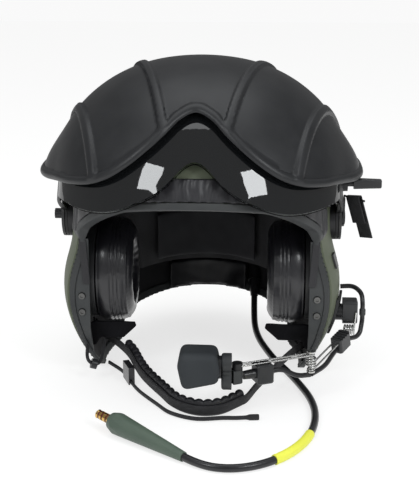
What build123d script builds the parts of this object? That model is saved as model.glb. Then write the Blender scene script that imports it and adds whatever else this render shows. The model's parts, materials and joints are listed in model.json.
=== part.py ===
from build123d import *
from math import asin, cos, pi, radians, sin, sqrt, tan
import os

# Pilot flight helmet in millimetres: +X to the wearer's left, -Y forward, +Z up.
# The origin is the middle of the head between the ear cups.
# "left" and "right" in the names are the wearer's own.

os.makedirs("parts", exist_ok=True)

# Levels and reach
floor_level = -80
pivot_height = 52
overrun = 220
fit_gap = 0.3
arc_run_share = 0.45

# Outer shell
shell_half_width = 118.5
shell_top = 168
shell_wall = 3.5
front_stretch_share = 1.06
rear_stretch_share = 1.21

# Black rubber trim round the shell's rim
trim_proud = 2.5
trim_inside = 2.0
trim_width = 5.5
trim_edge = 2.5
rim_round = 14

# Visor cover with its bead, ribs, rear wall and rear flange
cover_half_width = 134
cover_reach = 136
cover_wall = 3.0
cover_ear = 132
rib_proud = 2.8
bead_width = 6.5
cover_rear_angle = 118
rear_wall_angle = 1.4
flange_angle = 6.5
cover_flange_wall = 2.4

# Tinted and clear visors
visor_wall = 2.2
visor_depth = {"tinted": 6.3, "clear": 10.8}
visor_ear = {"tinted": 117.8, "clear": 115.0}
visor_drop = {"tinted": 0.0, "clear": 3.0}
visor_top_angle = 101
arm_overlap = 0.5
visor_disc_radius = 19
ear_flat_radius = 22

# Pivots, lock knob and lever
pin_radius = 4.0
running_gap = 0.06
washer_radius = 8.0
washer_wall = 1.2
cap_radius = 6.5
cap_height = 2.2
knob_radius = 4.4
knob_length = 6.6
knob_flutes = 12
flute_radius = 0.55
side_plate_radius = 19
cap_slot = 1.6
lever_angle = 59
lever_arm = 40
lever_plate_radius = 6.5
lever_plate_wall = 3.5
lever_stem_radius = 2.6
lever_stem_length = 5.0
grip_length = 23.0
grip_height = 9.0
grip_depth = 7.5
grip_rounding = 2.6
grip_taper = 2

# Webbing tab and its hanger at the left pivot
hanger_wall = 1.4
hanger_width = 4.0
hanger_rise = 19
tab_back = 8
tab_stand = 6.5
tab_shift = 3.5
tab_width = 16
tab_length = 37
tab_fold_share = 0.6
tab_layer = 1.3
tab_bar_radius = 0.9
tab_bar_share = 0.75
tab_turn = 40
tab_lean = 16

# Head space and the padding round it
head_half_width = 78
head_front = 97
head_rear = 104
head_crown = 130
head_brow = 60
pad_wall = 8.0
crown_pad_radius = 45
leather_wall = 2.0
leather_height = 24
leather_forward = 40
brow_pad_width = 104
brow_pad_height = 20
brow_pad_rise = 46
pad_reach_share = 0.9
nape_pad_width = 90
nape_pad_height = 44
nape_pad_level = 10
nape_roll_wall = 14
nape_roll_height = 27
nape_roll_width = 74

# Ear cups and cushions
ear_forward = -5
ear_height = 5
ear_oval_share = 1.12
cup_radius = 37
cup_inner_face = 88
cup_back = 104
cup_wall = 2.6
cup_bend = 9
cushion_radius = 40
cushion_hole = 18
cushion_face = 56
cushion_seat_share = 0.95
cushion_seam_shares = (0.15, 0.92)
cushion_side_share = 0.46
cushion_shoulder_shares = (0.78, 0.955)
earphone_radius = 21
earphone_wall = 5.0
port_circle_share = 0.55
port_share = 0.11
port_count = 8

# Front flanges and their screws
flange_inner = 91
flange_wall = 3.0
flange_inset = 1.2
flange_top = 44
flange_back = -15
screw_across = 97.5
screw_levels = (-6, -20)
wing_front = -27
wing_wall = 3.0
temple_width = 6.0
temple_wall = 1.4
wing_shares = (
    (0.615, -0.304),
    (0.978, -0.304),
    (1.2, -0.354),
    (1.077, -0.49),
    (0.985, -0.49),
    (0.94, -0.43),
    (0.725, -0.43),
    (0.604, -0.338),
)
screw_head_radius = 3.2
screw_head_height = 1.4
screw_head_taper = 20
screw_shank_radius = 1.6
screw_shank_length = 5.0
screw_socket_radius = 1.5

# Small fittings on the outside of the shell and the cover
cover_screw_spacing = 34
cover_screw_count = 5
edge_clip_wall = 1.4
edge_clip_width = 9
edge_clip_height = 12
edge_clip_place = (-25, 21)

# Cord, its route along the floor, its sleeve, gland and plug
cord_diameter = 6.0
cord_route = (
    (-3, -197, -75.8),
    (10, -207.5, -77),
    (31, -212, -77),
    (53, -204.5, -77),
    (72, -189, -76.1),
    (85.5, -167, -76.1),
    (93, -141, -76.6),
    (95.5, -113, -77),
    (92.5, -86, -77),
    (85, -60, -77),
    (76, -34, -77),
    (65, -8, -77),
    (57, 18, -77),
    (50, 44, -76.5),
    (46, 68, -74),
    (45, 88, -66),
    (45, 101, -54),
)
sleeve_first = 4
gland_length = 24
gland_radius = 6.4
gland_tip_radius = 3.7
gland_base = 8
sleeve_wall = 0.9
plug_pin_radius = 3.57
plug_pin_length = 17.0
plug_body_length = 74.0
plug_front_radius = 8.6
plug_rear_radius = 3.8
plug_bevel = 6.0
plug_facets = 8
plug_facet_reach = 8.0
insulator_share = 0.94
contact_shares = ((0.0, 0.2), (0.3, 0.46), (0.56, 0.68))
tip_share = 0.78
tip_neck_share = 0.72

# Chin strap: its line on a sloping plane, as shares of its half width and forward reach
strap_level = -54.5
strap_rise_share = 0.15
chin_half_width = 85
chin_reach = 120
strap_wall = 1.8
strap_width = 8.0
chin_pad_wall = 6.5
chin_pad_width = 14.5
scallop_depth = 1.6
scallop_count = 22
tail_wall = 2.2
tail_width = 4.2
tail_lift = 0.4
keeper_wall = 1.2
keeper_width = 15
tip_wall = 1.4
stud_radius = 4.5
stud_height = 1.6
strap_rear_shares = ((-1.094, 0.15), (-1.076, 0.075), (-1.0, 0.008), (-0.87, -0.092))
pad_shares = (
    (-0.734, -0.22),
    (-0.646, -0.329),
    (-0.565, -0.476),
    (-0.467, -0.618),
    (-0.291, -0.802),
    (-0.154, -0.932),
    (0.036, -0.998),
    (0.229, -0.981),
    (0.384, -0.893),
    (0.438, -0.855),
)
strap_front_shares = (
    (0.529, -0.705),
    (0.652, -0.535),
    (0.851, -0.275),
    (0.995, -0.125),
    (1.09, 0.0),
    (1.1, 0.06),
)
tail_end_shares = ((0.39, -1.04), (0.516, -1.026), (0.6, -1.02))

# Drawcord loop and its toggle under the right lobe
bungee_radius = 1.5
bungee_route = (
    (-95, -40.3, -54),
    (-95, -47.5, -57),
    (-93, -51.5, -64),
    (-84, -49.5, -67),
    (-82, -38, -59),
    (-82.5, -28.2, -52),
)
toggle_radius = 4.2
toggle_length = 5.0

# Microphone boom: hub block, coils, wires, elbow, connector block and clip
hub_place = (124, -20, -26)
hub_block = (12.5, 14, 20.5)
hub_rise = 1.25
hub_rounding = 1.6
hub_shift = 2.75
pin_cap_share = 0.2
hub_pin_radius = 2.4
hub_plate_wall = 2.4
hub_plate_width = 26
hub_plate_height = 30
boss_radius = 7.0
wire_radius = 0.8
wire_spacing = 4.8
coil_radius = 3.6
coil_pitch = 2.1
coil_turns = 4
hub_coil_place = (126, -32, -37.5)
spring_tail = 14.0
coil_end = 1.6
elbow_place = (92, -85, -45.5)
elbow_pin_radius = 1.4
elbow_head_radius = 3.4
elbow_head_height = 1.2
mic_pivot_place = (33.5, -112, -45)
clip_share = 0.24
clip_length = 17
clip_half_width = 5.2
clip_above = 3.2
clip_below = 9.0
clip_ribs = 4
clip_groove = 1.0
clip_groove_length = 16
clip_corner_share = 0.4
clip_cable_drop = 6.0
clip_lead_share = 0.6
connector_share = 0.66
connector_size = (14, 14, 16)
connector_rounding = 1.2
shrink_half_width = 4.4
shrink_half_height = 3.6
shrink_taper = 4
sleeve_corner_share = 0.9

# Microphone: knuckle, collar, foam and capsule
knuckle_radius = 4.2
knuckle_height = 5.2
mic_stem_drop = 11
mic_pin_radius = 1.2
collar_near = 0.6
collar_wall = 8
collar_radius = 7.6
collar_spread = 14.5
collar_drop = 1.5
collar_waist_share = 1.2
foam_depth = 28
foam_rounding = 5
foam_gap = 0.3
foam_rise = 3.5
foam_shares = ((0.06, 0.32), (0.0, 0.0), (0.1, -0.47), (0.93, -0.48), (1.0, -0.1), (0.88, 0.52))
foam_width = 34
foam_height = 31
capsule_radius = 9
capsule_length = 9

# Microphone cable
mic_cable_radius = 2.0
elbow_break = 0.5
hub_break = 0.8
cable_lead = 10
cable_side = 137.5
cable_root_steps = ((-18.4, 14, 18), (-7, 13, 19), (-0.5, 5, 15), (0, 0, 7))
cable_hub_steps = ((0, -0.5, -7), (-2.5, -7, -19.5))
cable_elbow_steps = ((12, 13, 2), (-11, -6, 1))


def keep(block, name):
    """Label a finished piece and write it under its own name."""
    block.part.label = name
    export_step(block.part, f"parts/{name}.step")


front_plane = Plane(origin=(0, 0, pivot_height), x_dir=(1, 0, 0), z_dir=(0, -1, 0))
side_plane = Plane(origin=(0, 0, pivot_height), x_dir=(0, 1, 0), z_dir=(1, 0, 0))
pivot_axis = Axis((0, 0, pivot_height), (1, 0, 0))
sides = (("left", 1), ("right", -1))


# Outer shell: one profile turned about the upright axis, then drawn out to the front and rear.
# Each pair is the share of the shell's height and the share of its half width.
shell_profile_shares = (
    (0.0, 0.745),
    (0.08, 0.855),
    (0.18, 0.955),
    (0.29, 1.0),
    (0.37, 0.985),
    (0.455, 0.938),
    (0.53, 0.922),
    (0.645, 0.908),
    (0.745, 0.845),
    (0.847, 0.71),
    (0.927, 0.515),
    (0.976, 0.30),
    (1.0, 0.0),
)


def drawn_half(profile_face, way, share):
    """Half a turn of a profile about the upright axis, stretched forwards or rearwards."""
    with BuildPart() as half:
        revolve(profile_face, axis=Axis((0, 0, 0), (0, 0, way)), revolution_arc=180)
        scale(by=(1, share, 1))
    return half.part


def drawn_out(profile_face, front_share, rear_share):
    """Turn a half profile about the upright axis and stretch its front and rear halves."""
    with BuildPart() as both:
        add(drawn_half(profile_face, -1, front_share))
        add(drawn_half(profile_face, 1, rear_share))
    return both.part


def shell_blank(outset):
    """The solid inside the shell's outer face, moved outwards by outset."""
    height = shell_top - floor_level + outset
    half_width = shell_half_width + outset
    one_side = [(share * half_width, floor_level + rise * height) for rise, share in shell_profile_shares]
    other_side = [(-x, z) for x, z in reversed(one_side[:-1])]
    with BuildSketch(Plane.XZ) as profile:
        with BuildLine():
            curve = Spline(*one_side, *other_side)
            Line(curve @ 1, curve @ 0)
        make_face()
        Rectangle(overrun, overrun * 3, align=(Align.MIN, Align.CENTER), mode=Mode.INTERSECT)
    return drawn_out(profile.sketch.face(), front_stretch_share, rear_stretch_share)


def head_blank(inset):
    """The solid of the head space, made smaller by inset all round."""
    half_width = head_half_width - inset
    rise = head_crown - head_brow - inset
    with BuildSketch(Plane.XZ) as profile:
        with BuildLine():
            arch = EllipticalCenterArc((0, head_brow), half_width, rise)
            Polyline(arch @ 1, (0, floor_level), (half_width, floor_level), arch @ 0)
        make_face()
    front_share = (head_front - inset) / half_width
    rear_share = (head_rear - inset) / half_width
    return drawn_out(profile.sketch.face(), front_share, rear_share)


# The rim seen from the side: brow, temple, ear lobe, foot and nape.
# Each pair is the share of the shell's half width behind the middle and of its height.
rim_shares = (
    (-1.45, 0.682),
    (-0.98, 0.673),
    (-0.78, 0.637),
    (-0.51, 0.548),
    (-0.42, 0.492),
    (-0.42, 0.181),
    (-0.255, 0.032),
    (-0.13, 0.0),
    (0.38, 0.0),
    (0.63, 0.073),
    (1.18, 0.129),
    (1.5, 0.137),
    (1.5, 1.3),
    (-1.45, 1.3),
)


def rim_block(inset):
    """The block above the rim line, which lies inset further in."""
    height = shell_top - floor_level
    points = [(y * shell_half_width, floor_level + z * height) for y, z in rim_shares]
    with BuildPart() as block:
        with BuildSketch(Plane.YZ) as outline:
            with BuildLine():
                Polyline(*points, close=True)
            make_face()
            fillet(outline.vertices(), rim_round)
            if inset:
                offset(amount=-inset)
        extrude(amount=overrun, both=True)
    return block.part


def outermost(solid, place, direction):
    """The last point of a solid that a line from place meets, and the face's normal there."""
    line = Axis(place, direction)
    hits = [hit for face in solid.faces() for hit in face.find_intersection_points(line)]
    return max(hits, key=lambda hit: (hit[0] - Vector(place)).dot(Vector(direction)))


outer_blank = shell_blank(0)
inner_blank = shell_blank(-shell_wall)
rim_outline = rim_block(0)

with BuildPart() as shell:
    add(outer_blank)
    add(inner_blank, mode=Mode.SUBTRACT)
    add(rim_block(trim_edge), mode=Mode.INTERSECT)
keep(shell, "shell")

trim_inner_blank = shell_blank(-shell_wall - trim_inside)
with BuildPart() as edge_trim:
    add(shell_blank(trim_proud))
    add(trim_inner_blank, mode=Mode.SUBTRACT)
    add(rim_outline, mode=Mode.INTERSECT)
    add(rim_block(trim_width), mode=Mode.SUBTRACT)
    add(shell.part, mode=Mode.SUBTRACT)
keep(edge_trim, "edge_trim")


# Domes turned about the visors' pivot axis, with flat ears round the pivots
dome_power = 2.2
ear_steps = 12
arm_step = 2
ear_shoulder = 30
ear_rounding = 1.5
ear_shares = ((0.0, 0.0), (0.35, 0.0), (0.95, 1.0))


def dome_points(depth, ear):
    """Points of the arch, from ear to ear, that lies depth under the cover's outer face."""
    half_width = cover_half_width - depth
    reach = cover_reach - depth
    drops = [(bend * ear_rounding, ear_flat_radius + rise * ear_shoulder) for rise, bend in ear_shares]
    ear_points = [(ear - inward, -drop) for inward, drop in drops]
    points = [(-across, down) for across, down in ear_points]
    for step in range(arm_step, ear_steps - arm_step + 1):
        angle = pi * step / ear_steps
        across = abs(cos(angle)) ** (2 / dome_power) * half_width
        points.append((-across if cos(angle) > 0 else across, -(sin(angle) ** (2 / dome_power)) * reach))
    return points + ear_points[::-1]


def dome_blank(depth, ear):
    """The solid inside a dome that lies depth under the cover's outer face."""
    with BuildPart() as dome:
        with BuildSketch(front_plane):
            with BuildLine():
                arch = Spline(*dome_points(depth, ear))
                Polyline(arch @ 1, (ear, 0), (-ear, 0), arch @ 0)
            make_face()
        revolve(axis=pivot_axis)
    return dome.part


def below_edge(shares, lift, half_span):
    """The block below an edge line seen from the front, raised by lift, between two side limits."""
    right_half = [(x * cover_half_width, z * cover_reach + lift) for x, z in shares]
    points = [(-x, z) for x, z in reversed(right_half[1:])] + right_half
    end = right_half[-1][0]
    with BuildPart() as block:
        with BuildSketch(front_plane):
            with BuildLine():
                edge = Spline(*points)
                Polyline(edge @ 1, (end, -overrun), (-end, -overrun), edge @ 0)
            make_face()
            Rectangle(half_span * 2, overrun * 3, mode=Mode.INTERSECT)
        extrude(amount=overrun, both=True)
    return block.part


def behind_angle(angle):
    """The space behind a plane that leans back through the pivot axis, and below the axis."""
    lean = overrun / tan(radians(180 - angle))
    with BuildPart() as block:
        with BuildSketch(side_plane):
            with BuildLine():
                Polyline(
                    (0, 0),
                    (lean, overrun),
                    (overrun, overrun),
                    (overrun, -overrun),
                    (0, -overrun),
                    close=True,
                )
            make_face()
        extrude(amount=overrun, both=True)
    return block.part


# Lower edges seen from the front, as shares of the cover's half width and reach above the pivots
cover_edge_shares = (
    (0.0, 0.765),
    (0.09, 0.728),
    (0.172, 0.654),
    (0.265, 0.575),
    (0.376, 0.489),
    (0.489, 0.417),
    (0.605, 0.370),
    (0.73, 0.345),
    (0.82, 0.332),
    (0.925, 0.309),
    (1.06, 0.292),
)
visor_edge_shares = (
    (0.0, 0.515),
    (0.067, 0.485),
    (0.134, 0.419),
    (0.239, 0.338),
    (0.336, 0.290),
    (0.448, 0.243),
    (0.567, 0.217),
    (0.694, 0.214),
    (0.791, 0.221),
    (0.86, 0.228),
    (1.06, 0.236),
)

cover_face = dome_blank(0, cover_ear)
cover_inside = dome_blank(cover_wall, cover_ear - cover_wall)
raised_face = dome_blank(-rib_proud, cover_ear + rib_proud)
below_cover = below_edge(cover_edge_shares, 0, overrun)
behind_cover = behind_angle(cover_rear_angle)
behind_wall = behind_angle(cover_rear_angle - rear_wall_angle)
seat_blank = shell_blank(fit_gap)

# Ribs where they leave the cover's front edge: across and forward as shares, width and turn
rib_places = (
    (0.18, -0.72, 6.0, 14),
    (0.58, -0.75, 4.8, 15),
)

with BuildPart() as raised_bands:
    for across_share, forward_share, width, turn in rib_places:
        for hand, side in sides:
            across = side * across_share * cover_half_width
            place = (across, forward_share * cover_reach, pivot_height)
            with Locations(Location(place, (0, 0, -side * turn))):
                Box(width, overrun * 2, overrun * 2)
    add(below_edge(cover_edge_shares, bead_width, overrun))
    add(raised_face, mode=Mode.INTERSECT)
    add(cover_face, mode=Mode.SUBTRACT)
    add(below_cover, mode=Mode.SUBTRACT)
    add(behind_cover, mode=Mode.SUBTRACT)

with BuildPart() as rear_wall:
    add(cover_inside)
    add(behind_wall, mode=Mode.INTERSECT)
    add(behind_cover, mode=Mode.SUBTRACT)
    add(below_cover, mode=Mode.SUBTRACT)
    add(seat_blank, mode=Mode.SUBTRACT)

with BuildPart() as rear_flange:
    add(shell_blank(fit_gap + cover_flange_wall))
    add(seat_blank, mode=Mode.SUBTRACT)
    add(behind_wall, mode=Mode.INTERSECT)
    add(behind_angle(cover_rear_angle + flange_angle), mode=Mode.SUBTRACT)
    add(below_cover, mode=Mode.SUBTRACT)

flange_outside = shell_blank(fit_gap + cover_flange_wall)
screw_way = Vector(0, 1, 0).rotate(Axis.X, 180 - cover_rear_angle - flange_angle / 2)
cover_screw_planes = []
for step in range(cover_screw_count):
    across = (step - (cover_screw_count - 1) / 2) * cover_screw_spacing
    point, normal = outermost(flange_outside, (across, 0, pivot_height), tuple(screw_way))
    cover_screw_planes.append(Plane(origin=point, z_dir=normal if normal.dot(screw_way) > 0 else -normal))

with BuildPart() as visor_cover:
    add(cover_face)
    add(cover_inside, mode=Mode.SUBTRACT)
    add(below_cover, mode=Mode.SUBTRACT)
    add(behind_cover, mode=Mode.SUBTRACT)
    add(raised_bands.part)
    add(rear_wall.part)
    add(rear_flange.part)
    for plane in cover_screw_planes:
        with BuildSketch(plane):
            Circle(screw_shank_radius + running_gap)
        extrude(amount=-cover_flange_wall * 2, mode=Mode.SUBTRACT)
keep(visor_cover, "visor_cover")

# Visors: each is a band of its dome that narrows to an arm and a round ear at both pivots
with BuildPart() as ear_cores:
    with BuildSketch(side_plane):
        Circle(visor_disc_radius)
    extrude(amount=overrun * 2, both=True)

for kind in ("tinted", "clear"):
    depth = visor_depth[kind]
    arm_start = cos(pi * arm_step / ear_steps) ** (2 / dome_power) * (cover_half_width - depth)
    arm_radius = sin(pi * arm_step / ear_steps) ** (2 / dome_power) * (cover_reach - depth)
    edge_height = visor_edge_shares[-2][1] * cover_reach - visor_drop[kind]
    low = pi - asin(edge_height / arm_radius)
    with BuildPart() as visor:
        add(dome_blank(depth, visor_ear[kind]))
        add(dome_blank(depth + visor_wall, visor_ear[kind] - visor_wall), mode=Mode.SUBTRACT)
        add(below_edge(visor_edge_shares, -visor_drop[kind], arm_start), mode=Mode.SUBTRACT)
        for hand, side in sides:
            with BuildSketch(side_plane.offset(side * (arm_start - arm_overlap))):
                Rectangle(overrun * 2, overrun * 2)
                with BuildLine():
                    Polyline(
                        (0, 0),
                        (overrun * cos(low), overrun * sin(low)),
                        (-overrun, overrun),
                        (overrun, overrun),
                        close=True,
                    )
                make_face(mode=Mode.SUBTRACT)
                Circle(visor_disc_radius, mode=Mode.SUBTRACT)
            extrude(amount=side * overrun, mode=Mode.SUBTRACT)
        add(behind_angle(visor_top_angle) - ear_cores.part, mode=Mode.SUBTRACT)
        with BuildSketch(side_plane):
            Circle(pin_radius + running_gap)
        extrude(amount=overrun, both=True, mode=Mode.SUBTRACT)
    keep(visor, f"{kind}_visor")

# Side plates, pivot pins and what sits on them
tinted_blank = dome_blank(visor_depth["tinted"], visor_ear["tinted"])
washer_place = visor_ear["tinted"] + fit_gap
cap_place = washer_place + washer_wall
with BuildPart() as side_plates:
    for hand, side in sides:
        with BuildSketch(side_plane.offset(side * (visor_ear["clear"] - visor_wall - fit_gap))):
            Circle(side_plate_radius)
            Circle(pin_radius, mode=Mode.SUBTRACT)
        extrude(amount=-side * side_plate_radius)
    add(outer_blank, mode=Mode.SUBTRACT)
keep(side_plates, "side_plates")

with BuildPart() as pivot_pins:
    for hand, side in sides:
        with BuildSketch(side_plane.offset(side * washer_place)):
            Circle(pin_radius)
        extrude(amount=-side * side_plate_radius)
    add(outer_blank, mode=Mode.SUBTRACT)
    for hand, side in sides:
        with BuildSketch(side_plane.offset(side * washer_place)):
            Circle(washer_radius)
        extrude(amount=side * washer_wall)
keep(pivot_pins, "pivot_pins")

with BuildPart() as pivot_cap:
    with BuildSketch(side_plane.offset(cap_place)):
        Circle(cap_radius)
    extrude(amount=cap_height)
    fillet(pivot_cap.faces().sort_by(Axis.X)[-1].edges(), cap_height / 2)
    with BuildSketch(side_plane.offset(cap_place + cap_height)):
        Rectangle(cap_slot, cap_radius * 2)
    extrude(amount=-cap_height / 2, mode=Mode.SUBTRACT)
keep(pivot_cap, "pivot_cap")

with BuildPart() as lock_knob:
    with BuildSketch(side_plane.offset(-cap_place - fit_gap)):
        Circle(knob_radius)
        with PolarLocations(knob_radius, knob_flutes):
            Circle(flute_radius, mode=Mode.SUBTRACT)
    extrude(amount=-knob_length)
keep(lock_knob, "lock_knob")

# Lever on the left arm of the tinted visor
lever_y = -lever_arm * cos(radians(lever_angle))
lever_z = lever_arm * sin(radians(lever_angle))
lever_root = visor_ear["tinted"] + lever_plate_wall
with BuildPart() as lever_bracket:
    with BuildSketch(side_plane.offset(lever_root)):
        with Locations((lever_y, lever_z)):
            Circle(lever_plate_radius)
    extrude(amount=-lever_arm / 2)
    add(tinted_blank, mode=Mode.SUBTRACT)
    with BuildSketch(side_plane.offset(lever_root)):
        with Locations((lever_y, lever_z)):
            Circle(lever_stem_radius)
    extrude(amount=lever_stem_length)
keep(lever_bracket, "lever_bracket")

with BuildPart() as lever_grip:
    with BuildSketch(side_plane.offset(lever_root + lever_stem_length)):
        with Locations((lever_y, lever_z)):
            RectangleRounded(grip_depth, grip_height, grip_rounding)
    extrude(amount=grip_length, taper=grip_taper)
    fillet(lever_grip.faces().sort_by(Axis.X)[-1].edges(), grip_rounding / 2)
keep(lever_grip, "lever_grip")

# Webbing tab that hangs from a hanger plate on the left pivot
tab_across = Vector(-sin(radians(tab_turn)), cos(radians(tab_turn)), 0)
tab_down = Vector(sin(radians(tab_lean)), 0, -cos(radians(tab_lean)))
tab_top = Vector(cap_place + tab_stand, -tab_back, pivot_height + hanger_rise)
tab_plane = Plane(origin=tab_top, x_dir=tab_down, z_dir=tab_across)
with BuildPart() as tab_hanger:
    with BuildSketch(tab_plane.offset(-tab_shift)):
        Circle(tab_bar_radius)
    extrude(amount=tab_width * tab_bar_share, both=True)
    with BuildSketch(side_plane.offset(cap_place)):
        with BuildLine():
            Polyline(
                (-washer_radius, 0),
                (-tab_back - hanger_width, hanger_rise),
                (-tab_back + hanger_width, hanger_rise),
                (washer_radius, 0),
                close=True,
            )
        make_face()
        Circle(washer_radius)
    extrude(amount=hanger_wall)
    with BuildSketch(side_plane.offset(cap_place)):
        Circle(cap_radius + fit_gap)
    extrude(amount=hanger_wall, mode=Mode.SUBTRACT)
keep(tab_hanger, "tab_hanger")

with BuildPart() as webbing_tab:
    with BuildSketch(tab_plane.offset(-tab_shift - tab_width / 2)):
        Circle(tab_bar_radius + fit_gap / 2 + tab_layer)
        with Locations((0, -tab_bar_radius - fit_gap / 2)):
            Rectangle(tab_length, tab_layer, align=(Align.MIN, Align.MAX))
        with Locations((0, tab_bar_radius + fit_gap / 2)):
            Rectangle(tab_length * tab_fold_share, tab_layer, align=(Align.MIN, Align.MIN))
        Circle(tab_bar_radius + fit_gap / 2, mode=Mode.SUBTRACT)
        bar_space = tab_bar_radius * 2 + fit_gap
        Rectangle(tab_length, bar_space, align=(Align.MIN, Align.CENTER), mode=Mode.SUBTRACT)
    extrude(amount=tab_width)
keep(webbing_tab, "webbing_tab")

# Padding: impact liner, brow leather, brow pad, crown pad and nape roll
head_space = head_blank(0)
liner_blank = shell_blank(-shell_wall - fit_gap)
shell_height = shell_top - floor_level
liner_shares = (
    (-1.2, 0.706),
    (-0.8, 0.686),
    (-0.44, 0.597),
    (0.38, 0.581),
    (0.52, 0.403),
    (0.57, 0.25),
    (1.3, 0.25),
    (1.3, 1.05),
    (-1.2, 1.05),
)
with BuildPart() as impact_liner:
    with BuildSketch(Plane.YZ):
        with BuildLine():
            Polyline(
                *[(y * shell_half_width, floor_level + z * shell_height) for y, z in liner_shares],
                close=True,
            )
        make_face()
    extrude(amount=overrun, both=True)
    add(liner_blank, mode=Mode.INTERSECT)
    add(head_space, mode=Mode.SUBTRACT)
keep(impact_liner, "impact_liner")

with BuildPart() as brow_leather:
    add(shell_blank(fit_gap + leather_wall))
    add(seat_blank, mode=Mode.SUBTRACT)
    add(rim_block(trim_width + fit_gap), mode=Mode.INTERSECT)
    add(rim_block(leather_height), mode=Mode.SUBTRACT)
    with Locations((0, -leather_forward, 0)):
        Box(
            overrun * 2,
            overrun,
            overrun * 2,
            align=(Align.CENTER, Align.MAX, Align.CENTER),
            mode=Mode.INTERSECT,
        )
keep(brow_leather, "brow_leather")

pad_outer = head_blank(fit_gap)
pad_inner = head_blank(fit_gap + pad_wall)
with BuildPart() as crown_pad:
    Cylinder(crown_pad_radius, overrun * 2)
    add(pad_outer, mode=Mode.INTERSECT)
    add(pad_inner, mode=Mode.SUBTRACT)
    split(bisect_by=Plane.XY.offset(head_brow))
keep(crown_pad, "crown_pad")

with BuildPart() as head_pads:
    with Locations((0, -head_front, head_brow + brow_pad_rise)):
        Box(brow_pad_width, head_front * pad_reach_share, brow_pad_height)
    with Locations((0, head_rear, nape_pad_level)):
        Box(nape_pad_width, head_rear * pad_reach_share, nape_pad_height)
    add(pad_outer, mode=Mode.INTERSECT)
    add(pad_inner, mode=Mode.SUBTRACT)
keep(head_pads, "head_pads")

with BuildPart() as nape_roll:
    add(liner_blank)
    add(shell_blank(-shell_wall - nape_roll_wall), mode=Mode.SUBTRACT)
    add(rim_block(trim_width + fit_gap), mode=Mode.INTERSECT)
    add(rim_block(nape_roll_height), mode=Mode.SUBTRACT)
    with Locations((0, head_rear, 0)):
        Box(
            nape_roll_width,
            overrun,
            overrun * 2,
            align=(Align.CENTER, Align.MIN, Align.CENTER),
            mode=Mode.INTERSECT,
        )
keep(nape_roll, "nape_roll")

# Ear cups: a hard cup on a spacer pad, with an earphone inside and a cushion in front
ear_plane = Plane(origin=(0, ear_forward, ear_height), x_dir=(1, 0, 0), z_dir=(0, -1, 0))
ear_side_plane = Plane(origin=(0, ear_forward, ear_height), x_dir=(0, 1, 0), z_dir=(1, 0, 0))
ear_axis = Axis((0, ear_forward, ear_height), (1, 0, 0))
ear_oval = {"by": (1, 1, ear_oval_share), "about": (0, ear_forward, ear_height)}
cushion_depth = cup_inner_face - cushion_face
cushion_middle = (cushion_radius + cushion_hole) / 2
for hand, side in sides:
    with BuildPart() as ear_cup:
        with BuildSketch(ear_plane):
            with BuildLine():
                bend = cup_back - cup_bend
                Polyline(
                    (side * cup_inner_face, cup_radius - cup_wall),
                    (side * cup_inner_face, cup_radius),
                )
                Line((side * cup_inner_face, cup_radius), (side * bend, cup_radius))
                RadiusArc(
                    (side * bend, cup_radius),
                    (side * cup_back, cup_radius - cup_bend),
                    side * cup_bend,
                )
                Polyline(
                    (side * cup_back, cup_radius - cup_bend),
                    (side * cup_back, 0),
                    (side * (cup_back - cup_wall), 0),
                    (side * (cup_back - cup_wall), cup_radius - cup_bend),
                    (side * bend, cup_radius - cup_wall),
                    (side * cup_inner_face, cup_radius - cup_wall),
                )
            make_face()
        revolve(axis=ear_axis)
        scale(**ear_oval)
    keep(ear_cup, f"ear_cup_{hand}")

    with BuildPart() as ear_cushion:
        with BuildSketch(ear_plane):
            with BuildLine():
                seat = side * (cup_inner_face - fit_gap)
                seat_edge = (seat, cushion_radius * cushion_seat_share)
                seam_depth = cup_inner_face - cushion_seam_shares[0] * cushion_depth
                side_depth = cup_inner_face - cushion_side_share * cushion_depth
                shoulder_depth = cup_inner_face - cushion_shoulder_shares[0] * cushion_depth
                seam = (side * seam_depth, cushion_radius * cushion_seam_shares[1])
                shoulder = (side * shoulder_depth, cushion_radius * cushion_shoulder_shares[1])
                throat = (side * shoulder_depth, cushion_hole)
                Line((seat, cushion_hole), seat_edge)
                Line(seat_edge, seam)
                ThreePointArc(seam, (side * side_depth, cushion_radius), shoulder)
                ThreePointArc(shoulder, (side * cushion_face, cushion_middle), throat)
                Line(throat, (seat, cushion_hole))
            make_face()
        revolve(axis=ear_axis)
        scale(**ear_oval)
    keep(ear_cushion, f"ear_cushion_{hand}")

with BuildPart() as earphones:
    for hand, side in sides:
        with BuildSketch(ear_side_plane.offset(side * (cup_back - cup_wall))):
            Circle(earphone_radius)
        extrude(amount=-side * earphone_wall)
        with BuildSketch(ear_side_plane.offset(side * (cup_back - cup_wall - earphone_wall))):
            with PolarLocations(earphone_radius * port_circle_share, port_count):
                Circle(earphone_radius * port_share)
            Circle(earphone_radius * port_share)
        extrude(amount=side * earphone_wall / 3, mode=Mode.SUBTRACT)
keep(earphones, "earphones")

with BuildPart() as spacer_pads:
    for hand, side in sides:
        with BuildSketch(ear_side_plane.offset(side * cup_back)):
            Circle(cup_radius - cup_bend)
        extrude(amount=side * cup_radius)
    add(inner_blank, mode=Mode.INTERSECT)
keep(spacer_pads, "spacer_pads")

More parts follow.
